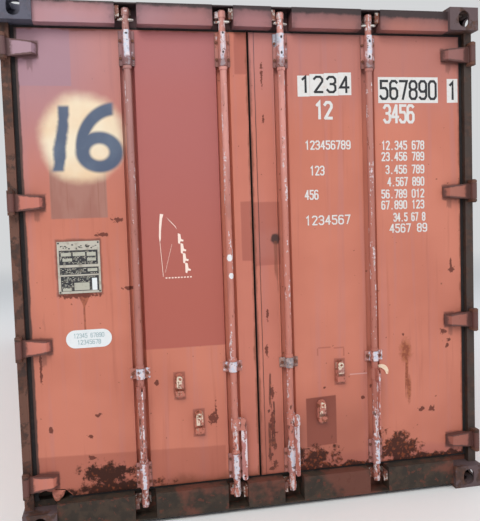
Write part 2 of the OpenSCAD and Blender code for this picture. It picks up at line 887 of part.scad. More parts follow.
module handle_2() color(bare) handle(1);

module handle_3() color(bare) handle(2);

module handle_4() color(bare) handle(3);

// Catch plates hang on the retainer studs

module catch_plate(i) {
    translate([keeps_x[i], rod_y - 9, keeps_z[i] + 48]) rotate([90, 0, 0])
        linear_extrude(height = 5) difference() {
            union() {
                translate([-catch_w / 2, -47]) square([catch_w, 47]);
                intersection() {
                    circle(r = catch_w / 2);
                    translate([-30, 0]) square([60, 14]);
                }
            }
            circle(r = 6.5);
        }
}

module catch_1() color(bare) catch_plate(0);

module catch_2() color(bare) catch_plate(1);

module catch_3() color(bare) catch_plate(2);

module catch_4() color(bare) catch_plate(3);

castings_door_end();
castings_blind_end();
left_door_post();
right_door_post();
blind_end_posts();
door_header();
door_sill();
blind_end_top_rail();
blind_end_bottom_rail();
top_side_rails();
bottom_side_rails();
cross_members();
fork_pockets();
floor_boards();
roof_sheet();
left_wall();
right_wall();
blind_end_wall();
hinge_lugs();
cam_keepers();
wall_vents();
left_door_frame();
left_door_panel();
left_door_gasket();
left_door_hinges();
left_rod_brackets();
left_handle_retainers();
right_door_frame();
right_door_panel();
right_door_gasket();
right_door_hinges();
right_rod_brackets();
right_handle_retainers();
lock_rod_1();
lock_rod_2();
lock_rod_3();
lock_rod_4();
handle_1();
handle_2();
handle_3();
handle_4();
catch_1();
catch_2();
catch_3();
catch_4();
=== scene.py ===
import bpy
import math
import random
from mathutils import Matrix, Vector


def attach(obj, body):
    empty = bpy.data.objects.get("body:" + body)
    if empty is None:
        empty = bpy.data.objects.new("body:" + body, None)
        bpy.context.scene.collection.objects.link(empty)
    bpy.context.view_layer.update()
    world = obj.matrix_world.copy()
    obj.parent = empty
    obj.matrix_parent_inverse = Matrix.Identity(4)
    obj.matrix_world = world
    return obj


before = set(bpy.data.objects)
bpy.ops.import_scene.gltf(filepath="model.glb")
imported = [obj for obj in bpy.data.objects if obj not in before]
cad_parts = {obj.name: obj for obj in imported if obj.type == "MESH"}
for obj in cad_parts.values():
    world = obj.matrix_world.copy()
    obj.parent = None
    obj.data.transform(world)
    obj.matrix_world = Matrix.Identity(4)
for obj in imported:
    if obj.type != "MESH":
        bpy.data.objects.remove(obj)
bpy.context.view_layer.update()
random.seed(20)

# The row frame in metres: x to the right along the door end, y into the box, z up.

# ---------------------------------------------------------------- colours

def col(r, g, b):
    """A colour in bytes, as the photo shows it, made linear."""
    out = []
    for c in (r, g, b):
        c = c / 255
        out.append(c / 12.92 if c <= 0.04045 else ((c + 0.055) / 1.055) ** 2.4)
    return (out[0], out[1], out[2], 1.0)

RED = col(197, 118, 96)
RED2 = col(186, 108, 87)
PINK = col(153, 120, 134)
CRIMSON = col(166, 92, 88)
GREYRED = col(177, 119, 108)
BRICK = col(143, 70, 55)
RUST = col(117, 61, 39)
RUST2 = col(157, 86, 50)
SPOT = col(96, 36, 19)
DARK = col(50, 33, 30)
CREAM = col(232, 218, 192)
SLATE = col(61, 79, 107)
WHITE = col(214, 212, 210)
CHIP = col(219, 205, 210)
# painted shade round the hinge blades, and their rust runs
HINGE_SHADE_AND_RUST = col(84, 48, 44)
# painted shadow and rust round the handle retainers
RETAINER_SHADOW_AND_RUST = col(120, 62, 52)
# painted shade with soot along the top of the header
TOP_SHADE_AND_SOOT = col(64, 46, 50)

# ---------------------------------------------------------------- places on the door end

FACE = -2.945                                   # y of the leaves' outer side
ROD_Y = -2.964                                  # y of the lock rods' axes
ROD_IN, ROD_OUT = 0.150, 0.625                  # how far the lock rods stand from the middle
HINGES = (0.252, 0.925, 1.627, 2.356)           # z of the hinge blades
LEFT_LEAF = (-1.149, -0.0235, 0.163, 2.458)     # x0, x1, z0, z1 of a leaf's outline
RIGHT_LEAF = (-0.0125, 1.149, 0.163, 2.458)
RETAINERS = ((-0.429, 0.675), (-0.335, 0.475), (0.325, 0.475), (0.432, 0.682))  # x, z
STUD_UP = 0.041                                 # from a retainer's middle to its catch's stud

# Areas of other paint: x0, x1, z0, z1 and what else Tree.rect takes, strength, colour.
LEFT_PATCHES = (
    ((-1.16, -0.2, 0.1, 0.357, 0.006, 0.003, 9.0, 0.03), 0.45, BRICK),
    ((-0.088, -0.02, 2.25, 2.47, 0.005, 0.004), 0.6, BRICK),
    ((-0.080, -0.02, 1.30, 1.605, 0.004, 0.003), 0.6, BRICK))
RIGHT_PATCHES = (
    ((-0.02, 0.133, 1.272, 1.60, 0.004, 0.004), 0.55, BRICK),
    ((-0.02, 0.133, 1.31, 1.45, 0.03, 0.02), 0.25, GREYRED),
    ((0.241, 0.408, 0.288, 0.553, 0.003, 0.001, 9.0, -0.04), 0.92, col(119, 54, 40)),
    ((0.2, 1.2, 0.1, 0.235, 0.02, 0.02), 0.35, CRIMSON))

# Stains: x and z of the middle, half width, half height.
LEFT_STAINS = (
    (-0.905, 1.165, 0.09, 0.012), (-0.705, 1.532, 0.024, 0.012), (-0.782, 1.462, 0.03, 0.009),
    (-1.105, 0.81, 0.006, 0.07), (-0.880, 0.345, 0.015, 0.012), (-0.885, 0.455, 0.014, 0.008),
    (-0.842, 0.56, 0.014, 0.008), (-1.075, 0.505, 0.01, 0.02), (-0.262, 0.49, 0.022, 0.03),
    (-0.245, 0.53, 0.006, 0.04), (-0.54, 0.7, 0.012, 0.012), (-0.66, 1.19, 0.04, 0.008))
RIGHT_STAINS = (
    (0.903, 0.437, 0.017, 0.01), (0.966, 0.432, 0.016, 0.014), (0.060, 0.60, 0.014, 0.025),
    (0.055, 0.43, 0.012, 0.07), (0.035, 0.82, 0.008, 0.03), (0.045, 1.02, 0.006, 0.03),
    (0.052, 2.02, 0.006, 0.02), (0.050, 2.25, 0.007, 0.05), (0.56, 0.53, 0.01, 0.008),
    (0.06, 0.385, 0.02, 0.006), (1.04, 0.86, 0.018, 0.014), (1.06, 0.78, 0.012, 0.012),
    (0.62, 0.58, 0.01, 0.01), (0.345, 0.60, 0.006, 0.006), (1.089, 1.222, 0.007, 0.036),
    (1.093, 1.200, 0.016, 0.012), (1.071, 0.811, 0.010, 0.010), (0.802, 0.857, 0.007, 0.007))
SEAM_SPOTS = (
    (0.052, 0.34, 0.010, 0.035), (0.040, 0.26, 0.012, 0.020), (0.062, 0.215, 0.016, 0.016),
    (0.036, 0.50, 0.007, 0.012), (0.070, 0.31, 0.006, 0.012), (0.042, 0.19, 0.016, 0.012))
BRACKET_HOLES = (
    (0.150, 2.430, 0.0055, 0.008), (0.150, 2.352, 0.0055, 0.008), (0.625, 2.418, 0.0055, 0.008),
    (0.623, 2.338, 0.0055, 0.008), (-0.150, 2.444, 0.005, 0.006), (-0.151, 2.350, 0.005, 0.006))

# Runs: x, z of the upper and of the lower end, half width.
SEAM_RUNS = ((0.048, 0.70, 0.42, 0.008), (0.066, 0.55, 0.20, 0.007), (0.038, 0.44, 0.17, 0.009))

# The four sides of a frame that a sticker left on the right leaf.
STICKER_TRACE = ((0.316, 0.386, 0.814, 0.821), (0.403, 0.460, 0.808, 0.815),
                 (0.309, 0.316, 0.776, 0.816), (0.455, 0.462, 0.765, 0.808))

# ---------------------------------------------------------------- materials

class Tree:
    """A material built from plain calls. Masks run from 0 to 1."""

    def __init__(self, name):
        self.mat = bpy.data.materials.new(name)
        self.mat.use_nodes = True
        self.tree = self.mat.node_tree
        self.tree.nodes.clear()
        self.out = self.new("ShaderNodeOutputMaterial")
        self.bsdf = self.new("ShaderNodeBsdfPrincipled")
        self.tree.links.new(self.bsdf.outputs[0], self.out.inputs[0])
        coord = self.new("ShaderNodeTexCoord")
        self.pos = coord.outputs["Object"]
        self.facing = coord.outputs["Normal"]
        sep = self.new("ShaderNodeSeparateXYZ")
        self.put(sep.inputs[0], self.pos)
        self.x, self.y, self.z = sep.outputs

    def new(self, kind):
        return self.tree.nodes.new(kind)

    def put(self, socket, value):
        """Link a socket to an input, or set the input to a value."""
        if isinstance(value, bpy.types.NodeSocket):
            self.tree.links.new(value, socket)
        else:
            socket.default_value = value

    def f(self, op, a, b=0.0, c=0.0):
        """One math node. Every value may be a number or a socket."""
        n = self.new("ShaderNodeMath")
        n.operation = op
        self.put(n.inputs[0], a)
        self.put(n.inputs[1], b)
        if op == "MULTIPLY_ADD":
            self.put(n.inputs[2], c)
        return n.outputs[0]

    def plus(self, a, b):
        return self.f("ADD", a, b)

    def minus(self, a, b):
        return self.f("SUBTRACT", a, b)

    def times(self, a, b):
        return self.f("MULTIPLY", a, b)

    def madd(self, a, b, c):
        """a times b, plus c."""
        return self.f("MULTIPLY_ADD", a, b, c)

    def abs(self, a):
        return self.f("ABSOLUTE", a)

    def least(self, a, b):
        return self.f("MINIMUM", a, b)

    def any(self, *masks):
        """The strongest of the masks."""
        m = masks[0]
        for k in masks[1:]:
            m = self.f("MAXIMUM", m, k)
        return m

    def hypot(self, a, b):
        return self.f("SQRT", self.plus(self.times(a, a), self.times(b, b)))

    def step(self, v, lo, hi):
        """0 below lo, 1 above hi, smooth between. hi may be below lo."""
        n = self.new("ShaderNodeMapRange")
        n.interpolation_type = "SMOOTHSTEP"
        self.put(n.inputs[0], v)
        n.inputs[1].default_value = min(lo, hi)
        n.inputs[2].default_value = max(lo, hi)
        if lo >= hi:
            n.inputs[3].default_value = 1.0
            n.inputs[4].default_value = 0.0
        return n.outputs[0]

    def noise(self, scale, detail=3.0, rough=0.5, stretch=None, shift=0.0):
        """Noise about 0.5. stretch scales the axes, shift moves the pattern."""
        vec = self.pos
        if stretch or shift:
            m = self.new("ShaderNodeMapping")
            self.put(m.inputs["Vector"], self.pos)
            m.inputs["Location"].default_value = (shift, shift * 0.7, shift * 1.3)
            m.inputs["Scale"].default_value = stretch or (1, 1, 1)
            vec = m.outputs[0]
        n = self.new("ShaderNodeTexNoise")
        self.put(n.inputs["Vector"], vec)
        n.inputs["Scale"].default_value = scale
        n.inputs["Detail"].default_value = detail
        n.inputs["Roughness"].default_value = rough
        return n.outputs[0]

    def sway(self, *args):
        """Noise about 0."""
        return self.minus(self.noise(*args), 0.5)

    def mix(self, fac, a, b):
        n = self.new("ShaderNodeMix")
        n.data_type = "RGBA"
        self.put(n.inputs["Factor"], fac)
        self.put(n.inputs["A"], a)
        self.put(n.inputs["B"], b)
        return n.outputs["Result"]

    def over(self, c, mask, strength, paint):
        """Colour c with paint over it where the mask is, as strong as told."""
        return self.mix(self.times(mask, strength), c, paint)

    def band(self, v, lo, hi, edge):
        """1 between lo and hi, with edges that are twice edge wide."""
        return self.times(self.step(v, lo - edge, lo + edge), self.step(v, hi + edge, hi - edge))

    def rect(self, x0, x1, z0, z1, edge=0.004, wob=0.0, scale=9.0, tilt=0.0):
        """An area on the door end. wob makes its outline wavy, tilt is its slope."""
        x, z = self.x, self.z
        if tilt:
            z = self.madd(self.minus(x, (x0 + x1) / 2), tilt, z)
        if wob:
            n = self.sway(scale, 3.0, 0.6)
            x = self.madd(n, wob * 2, x)
            z = self.madd(n, wob * 2, z)
        return self.times(self.band(x, x0, x1, edge), self.band(z, z0, z1, edge))

    def dist(self, cx, cz, sx=1.0, sz=1.0):
        """The distance from a place on the door end, in units of sx and sz."""
        return self.hypot(self.f("DIVIDE", self.minus(self.x, cx), sx),
                          self.f("DIVIDE", self.minus(self.z, cz), sz))

    def blob(self, cx, cz, rx, rz, edge=0.15, wob=2.1, scale=52.0):
        """A stain with a ragged outline."""
        d = self.madd(self.sway(scale, 4.0, 0.65), wob * 2, self.dist(cx, cz, rx, rz))
        return self.step(d, 1 + edge, 1 - edge)

    def streak(self, cx, top, foot, w):
        """A run of rust below a fault: narrow, fading downwards."""
        x = self.madd(self.sway(20.0, 3.0, 0.6, (1, 1, 0.2)), 0.03, self.x)
        line = self.step(self.abs(self.minus(x, cx)), w, w * 0.4)
        fade = self.madd(self.sway(60.0, 3.0, 0.6, (1, 1, 0.1)), 1.2, self.step(self.z, foot, top))
        below = self.step(self.z, top + 0.006, top - 0.004)
        return self.times(line, self.times(self.step(fade, 0.15, 0.4), below))

    def blobs(self, rows, *args):
        return self.any(*[self.blob(*row, *args) for row in rows])

    def outside(self):
        """1 on the faces that look out through the door end, 0 on the others."""
        sep = self.new("ShaderNodeSeparateXYZ")
        self.put(sep.inputs[0], self.facing)
        return self.step(sep.outputs[1], -0.02, -0.12)

    def rod_gap(self):
        """The distance in x to the nearest lock rod."""
        return self.least(*[self.abs(self.minus(self.abs(self.x), x)) for x in (ROD_IN, ROD_OUT)])

    def done(self, colour, rough=0.6, metal=0.0, bump=None, strength=0.2, distance=0.002):
        self.put(self.bsdf.inputs["Base Color"], colour)
        self.put(self.bsdf.inputs["Roughness"], rough)
        self.put(self.bsdf.inputs["Metallic"], metal)
        if bump is not None:
            n = self.new("ShaderNodeBump")
            n.inputs["Strength"].default_value = strength
            n.inputs["Distance"].default_value = distance
            self.put(n.inputs["Height"], bump)
            self.put(self.bsdf.inputs["Normal"], n.outputs[0])
        return self.mat


def weathered(t, base=RED, other=RED2):
    """Faded paint with soft clouds, faint runs and small rust specks."""
    c = t.mix(t.step(t.noise(1.7, 3.0, 0.55), 0.35, 0.68), base, other)
    runs = t.noise(26.0, 3.0, 0.5, (1, 1, 0.035))
    c = t.over(c, t.step(runs, 0.5, 0.75), 0.16, PINK)
    c = t.over(c, t.step(t.noise(34.0, 3.0, 0.55, (1, 1, 0.05), 3.0), 0.56, 0.8), 0.25, BRICK)
    return t.over(c, t.step(t.noise(46.0, 2.0, 0.4, None, 7.0), 0.735, 0.76), 0.8, RUST)


def patches(t, c, rows):
    for box, strength, paint in rows:
        c = t.over(c, t.rect(*box), strength, paint)
    return c


def rim(t, x0, x1, z0, z1, w=0.012):
    """1 near the outline of a door leaf, with a ragged edge."""
    a = t.least(t.minus(t.x, x0), t.minus(x1, t.x))
    b = t.least(t.minus(t.z, z0), t.minus(z1, t.z))
    return t.step(t.plus(t.least(a, b), t.times(t.sway(11.0, 4.0, 0.65), w * 2.4)), w, 0.0)


def seats(t, c, retainers):
    """Painted shadow and rust round the feet of the handle retainers."""
    m = t.any(*[t.rect(x - 0.030, x + 0.030, z - 0.072, z + 0.072, 0.004, 0.005, 24.0)
                for x, z in retainers])
    return t.over(c, m, 0.6, RETAINER_SHADOW_AND_RUST)


def hinge_shade(t, side):
    """Painted shade in a ragged outline where the hinge blades lie on a door, and short runs of rust below
    them.
    """
    x0, x1 = sorted((side * 1.042, side * 1.16))
    parts = []
    for z in HINGES:
        parts.append(t.rect(x0, x1, z - 0.046, z + 0.040, 0.006, 0.010, 26.0))
        parts.append(t.times(t.streak(side * 1.085, z - 0.040, z - 0.115, 0.018), 0.6))
    return t.any(*parts)


def inner_paint(t):
    """The door's inner side: the same red, duller, with rust along the foot."""
    c = weathered(t, col(168, 104, 86), col(154, 92, 78))
    low = t.madd(t.noise(9.0, 4.0, 0.65), 0.12, t.z)
    return t.over(c, t.step(low, 0.30, 0.20), 0.8, RUST)


def finish_leaf(t, c, inner, side, burnt, relief=None):
    """The end of both leaves' paint: painted hinge shade with rust runs, matt burnt patches and the inner
    side.
    """
    t.put(t.bsdf.inputs["Specular IOR Level"], t.madd(burnt, -0.4, 0.5))
    # painted shade round the hinge blades, with rust runs below them
    c = t.over(c, hinge_shade(t, side), 0.7, HINGE_SHADE_AND_RUST)
    bump = t.plus(t.noise(3.0, 2.0), t.times(t.noise(140.0, 3.0), 0.12))
    if relief is not None:
        bump = t.plus(bump, relief)
    return t.done(t.mix(t.outside(), inner, c), t.madd(t.noise(5.0, 3.0), 0.25, 0.42), 0.0, bump, 0.25, 0.004)


def sprayed_number(t, c):
    """A cream disc with soft edges and two plain figures in blue grey."""
    d = t.madd(t.sway(9.0, 4.0), 0.05, t.dist(-0.856, 1.934, 1.0, 1.07))
    cream = t.mix(t.step(t.noise(4.0), 0.35, 0.7), CREAM, col(226, 196, 160))
    c = t.over(c, t.step(d, 0.230, 0.160), 0.97, cream)
    lean = t.madd(t.minus(t.z, 1.93), -0.13, t.x)
    wave = t.madd(t.sway(14.0, 3.0), 0.03, lean)
    one = t.times(t.band(wave, -0.983, -0.928, 0.010), t.band(t.z, 1.775, 2.090, 0.010))
    bowl = t.abs(t.minus(t.dist(-0.776, 1.866, 1.15, 1.0), 0.070))
    stem = t.abs(t.minus(t.dist(-0.690, 1.880, 0.172, 0.196), 1.0))
    side = t.times(t.step(t.x, -0.690, -0.715), t.step(t.z, 1.86, 1.885))
    six = t.any(t.step(bowl, 0.040, 0.020), t.times(t.step(stem, 0.21, 0.11), side))
    ink = t.mix(t.step(t.noise(7.0, 3.0), 0.4, 0.7), SLATE, col(75, 92, 117))
    return t.over(c, t.any(one, six), 0.97, ink)


def left_door_paint():
    t = Tree("left_door_paint")
    inner = inner_paint(t)
    c = weathered(t)
    # cooler, paler paint towards the top left
    c = t.over(c, t.times(t.step(t.z, 1.5, 2.4), t.step(t.x, -0.3, -1.1)), 0.82, PINK)
    c = t.over(c, t.rect(-1.16, -0.895, 2.185, 2.47, 0.003), 0.9, col(157, 119, 131))
    # the crimson field between the rods, and the grey-brown one under the number
    field = t.rect(-0.600, -0.178, 0.872, 2.47, 0.004, 0.002)
    c = t.mix(field, c, t.mix(t.step(t.z, 2.1, 1.0), CRIMSON, col(169, 88, 75)))
    c = t.over(c, t.times(field, t.step(t.z, 2.1, 2.4)), 0.5, col(162, 98, 102))
    clouds = t.step(t.noise(12.0, 3.0, 0.6, (1, 1, 0.3)), 0.4, 0.65)
    brown = t.mix(clouds, col(158, 110, 98), col(150, 99, 87))
    c = t.over(c, t.rect(-1.02, -0.75, 1.545, 2.0, 0.004, 0.001), 0.95, brown)
    c = patches(t, c, LEFT_PATCHES)
    runs = t.step(t.noise(60.0, 2.0, 0.5, (1, 1, 0.02), 1.0), 0.58, 0.72)
    c = t.over(c, t.times(runs, t.rect(-1.0, -0.76, 1.56, 1.9, 0.05)), 0.55, RUST)
    c = sprayed_number(t, c)
    # rust and painted shadow round the data plate, dirt by the seam, painted shadow and rust round the
    # retainers
    c = t.over(c, t.rect(-1.010, -0.788, 1.166, 1.445, 0.006, 0.007, 30.0), 0.75, col(108, 59, 48))
    c = t.over(c, t.step(t.x, -0.112, -0.102), 0.2, CRIMSON)
    c = seats(t, c, RETAINERS[:2])
    # rust at the edges
    c = t.over(c, rim(t, *LEFT_LEAF), 0.8, RUST)
    c = t.over(c, t.rect(-1.2, -1.137, 0.1, 2.5, 0.004, 0.006, 14.0), 0.85, DARK)
    # the run below the data plate: wide at its top, then a line
    off = t.abs(t.minus(t.madd(t.sway(16.0), 0.014, t.x), -0.883))
    wide = t.madd(t.step(t.z, 1.10, 1.176), 0.026, 0.004)
    drip = t.step(t.minus(off, wide), 0.003, -0.003)
    drip = t.times(drip, t.rect(-1.0, -0.8, 0.990, 1.178, 0.004, 0.006, 24.0))
    c = t.over(c, drip, 0.85, t.mix(t.step(t.noise(50.0), 0.4, 0.6), col(152, 80, 52), col(118, 56, 36)))
    c = t.over(c, t.blobs(LEFT_STAINS), 0.93, SPOT)
    # rust and a burnt patch along the foot
    low = t.step(t.madd(t.noise(7.0, 4.0, 0.6), 0.14, t.z), 0.285, 0.20)
    c = t.over(c, t.times(low, t.step(t.x, -0.98, -0.86)), 0.8, RUST)
    burnt = t.any(t.blob(-0.76, 0.18, 0.22, 0.03, 0.3, 1.2, 30.0),
                  t.blob(-0.80, 0.25, 0.12, 0.06, 0.3, 1.8, 26.0))
    c = t.over(c, burnt, 0.92, t.mix(t.step(t.noise(45.0, 4.0), 0.54, 0.70), col(38, 26, 23), RUST))
    return finish_leaf(t, c, inner, -1, burnt)


def right_door_paint():
    t = Tree("right_door_paint")
    inner = inner_paint(t)
    c = patches(t, weathered(t), RIGHT_PATCHES)
    trace = t.any(*[t.rect(*box, 0.003, 0.002) for box in STICKER_TRACE])
    c = t.over(c, trace, 0.55, BRICK)
    c = t.over(c, t.rect(0.49, 0.60, 0.659, 0.664, 0.002, 0.001), 0.35, CHIP)
    c = t.over(c, t.step(t.x, 0.112, 0.102), 0.2, CRIMSON)
    # a dark spot by the seam and the run below it
    c = t.mix(t.blob(0.101, 1.407, 0.027, 0.027, 0.25, 0.25), c, col(66, 35, 30))
    c = t.over(c, t.streak(0.10, 1.395, 1.05, 0.012), 0.6, RUST)
    # rust at the edges
    c = t.over(c, rim(t, *RIGHT_LEAF), 0.8, RUST)
    c = t.over(c, t.rect(0.0105, 0.0155, 0.1, 2.5, 0.001, 0.003, 14.0), 0.8, DARK)
    # paler towards the top, duller at the upper and the lower right
    c = t.over(c, t.step(t.z, 1.9, 2.44), 0.27, PINK)
    c = t.over(c, t.times(t.step(t.z, 2.0, 2.44), t.step(t.x, 0.1, 0.7)), 0.45, col(160, 96, 82))
    c = t.over(c, t.times(t.step(t.z, 0.62, 0.36), t.step(t.x, 0.66, 0.5)), 0.5, col(142, 76, 60))
    # painted shadow and rust round the retainers
    c = seats(t, c, RETAINERS[2:])
    # orange runs, stains, the leaking seam and blisters along the foot
    orange = t.any(t.blob(0.815, 0.765, 0.03, 0.06, 0.5, 0.9, 40.0), t.streak(0.817, 0.76, 0.42, 0.012),
                   t.blob(0.83, 0.56, 0.012, 0.07, 0.5, 0.8, 40.0))
    fresh = t.mix(t.step(t.noise(60.0, 4.0), 0.42, 0.60), col(128, 55, 24), col(160, 88, 52))
    c = t.over(c, orange, 0.88, fresh)
    c = t.over(c, t.blobs(RIGHT_STAINS), 0.93, SPOT)
    seam = t.any(t.blobs(SEAM_SPOTS), *[t.streak(*row) for row in SEAM_RUNS])
    c = t.over(c, seam, 0.85, t.mix(t.step(t.noise(50.0), 0.5, 0.7), col(78, 32, 18), col(128, 62, 36)))
    blister = t.any(t.blob(0.275, 0.20, 0.11, 0.080, 0.3, 1.9, 24.0),
                    t.blob(0.765, 0.215, 0.11, 0.085, 0.3, 2.0, 24.0),
                    t.rect(0.2, 0.6, 0.1, 0.182, 0.006, 0.06, 16.0),
                    t.rect(0.84, 1.2, 0.1, 0.185, 0.006, 0.06, 16.0))
    c = t.over(c, blister, 0.9, t.mix(t.step(t.noise(60.0), 0.50, 0.66), col(44, 29, 26), RUST))
    return finish_leaf(t, c, inner, 1, blister, t.times(blister, t.noise(70.0, 4.0)))


def body_paint(name, low=0.42, grime=0.5, base=RED, other=RED2):
    """Paint of the walls, rails and roof: dirt low down, runs of rust, scuffs."""
    t = Tree(name)
    ragged = t.madd(t.noise(6.0, 4.0, 0.65), 0.35, t.z)
    c = t.over(weathered(t, base, other), t.step(ragged, low + 0.22, low - 0.12), grime, RUST)
    c = t.over(c, t.step(t.noise(2.1, 5.0, 0.7, None, 11.0), 0.66, 0.69), 0.7, RUST)
    streaks = t.step(t.noise(14.0, 3.0, 0.6, (1, 1, 0.03), 8.0), 0.60, 0.70)
    lower = t.step(t.madd(t.noise(5.0, 3.0), 2.4, t.z), 2.9, 1.9)
    c = t.over(c, t.times(streaks, lower), 0.35, RUST)
    c = t.over(c, t.step(t.noise(16.0, 3.0, 0.6, (1, 0.12, 3.0), 5.0), 0.70, 0.73), 0.5, RUST)
    return t.done(c, t.madd(t.noise(5.0, 3.0), 0.25, 0.45), 0.0, t.noise(60.0, 4.0), 0.15, 0.002)


def header_paint():
    """Dull paint, with painted shade and some soot round and in the pockets of the lock rods, and painted
    shade with soot along the top.
    """
    t = Tree("header_paint")
    c = t.mix(t.step(t.x, -0.9, -0.2), col(165, 124, 132), col(149, 100, 102))
    c = t.mix(t.step(t.x, 0.1, 0.6), c, col(145, 93, 87))
    c = t.over(c, t.step(t.noise(3.0, 3.0), 0.4, 0.7), 0.3, RED2)
    near = t.rod_gap()
    n = t.sway(13.0, 5.0, 0.7)
    high = t.madd(t.x, 0.018, t.z)
    # painted shade with some soot close round the lock rods' pockets
    pocket_shade_and_soot = t.step(t.madd(n, 0.16, near), 0.085, 0.042)
    top = t.step(t.madd(n, 0.04, high), 2.541, 2.558)
    # painted shade with soot, darker towards the top
    c = t.over(c, t.step(t.madd(n, 0.04, high), 2.500, 2.570), 0.58, TOP_SHADE_AND_SOOT)
    # the foot: painted shade of the gap below, with dirt, darker to the left and at the right-hand end,
    # lighter between
    foot = t.madd(t.step(t.x, 0.2, 0.65), -0.34, 0.4)
    foot = t.any(foot, t.times(t.step(t.madd(n, 0.3, t.x), 0.98, 1.06), 0.6))
    c = t.mix(t.times(t.step(t.madd(n, 0.03, t.z), 2.476, 2.464), foot), c, col(96, 84, 98))
    # painted shade round the rods' pockets, wide and faint
    c = t.over(c, t.step(t.madd(n, 0.06, near), 0.125, 0.03), 0.35, col(64, 46, 54))
    # near black: the painted shade with soot by the pockets, and the sooty top edge
    c = t.over(c, t.any(t.times(pocket_shade_and_soot, 0.35), t.times(top, 0.96)), 0.97, col(38, 26, 28))
    # painted shade deep inside the pockets
    c = t.over(c, t.step(t.y, -2.96, -2.93), 0.35, col(70, 50, 54))
    return t.done(c, t.madd(n, 0.3, 0.6), 0.0, t.noise(50.0, 4.0), 0.2, 0.002)


def sill_paint():
    """Dark dirt low down and to the left, red-brown paint showing above it."""
    t = Tree("sill_paint")
    c = t.mix(t.step(t.noise(14.0, 4.0, 0.65), 0.42, 0.6), col(44, 35, 27), col(61, 47, 36))
    clean = t.madd(t.step(t.x, -0.55, -0.35), 0.13, t.noise(3.0, 5.0, 0.6))
    clean = t.madd(t.step(t.z, 0.02, 0.12), 0.06, clean)
    c = t.over(c, t.step(clean, 0.62, 0.72), 0.8, col(108, 59, 46))
    c = t.over(c, t.step(t.noise(30.0, 4.0, 0.6, None, 3.0), 0.58, 0.64), 0.7, col(95, 48, 33))
    return t.done(c, 0.75, 0.0, t.noise(60.0, 5.0, 0.7), 0.3, 0.003)


def rod_paint():
    """Faded paint with few pale chips, many near foot and cam, and two drops of white."""
    t = Tree("rod_paint")
    right = t.step(t.x, -0.5, 0.1)
    c = t.mix(right, col(163, 115, 110), col(174, 114, 103))
    c = t.over(c, t.step(t.z, 1.9, 1.5), 0.8, t.mix(right, col(170, 104, 91), col(170, 101, 86)))
    inner = t.mix(t.step(t.z, 1.9, 1.5), col(212, 146, 136), col(192, 120, 105))
    c = t.over(c, t.step(t.abs(t.x), 0.45, 0.3), 0.75, inner)
    c = t.over(c, t.step(t.noise(22.0, 3.0, 0.6, (1, 1, 0.2), 6.0), 0.52, 0.7), 0.5, col(148, 95, 88))
    # chips, more of them low down, to the right and at the cams
    n = t.madd(t.noise(40.0, 3.0, 0.6, (1, 1, 0.12), 4.0), 0.6, t.times(t.noise(60.0, 4.0, 0.6), 0.4))
    n = t.madd(t.step(t.z, 0.75, 0.3), 0.055, n)
    n = t.madd(t.step(t.x, -0.35, 0.1), 0.02, n)
    n = t.madd(t.step(t.z, 2.455, 2.475), 0.07, n)
    chips = t.step(n, 0.585, 0.615)
    c = t.mix(chips, c, t.mix(t.step(t.noise(50.0), 0.4, 0.6), CHIP, col(197, 179, 177)))
    worn = t.madd(t.step(t.z, 0.75, 0.4), 0.08, t.noise(60.0, 4.0, 0.6, (1, 1, 0.4), 9.0))
    c = t.over(c, t.step(worn, 0.64, 0.68), 0.9, t.mix(t.step(t.z, 0.7, 0.4), RUST, col(88, 50, 42)))
    drops = t.blobs(((-0.152, 1.320, 0.014, 0.017), (-0.146, 1.228, 0.013, 0.015)), 0.1, 0.4)
    c = t.mix(drops, c, col(226, 224, 226))
    return t.done(c, 0.55, 0.0, t.minus(t.noise(80.0, 4.0), chips), 0.3, 0.001)


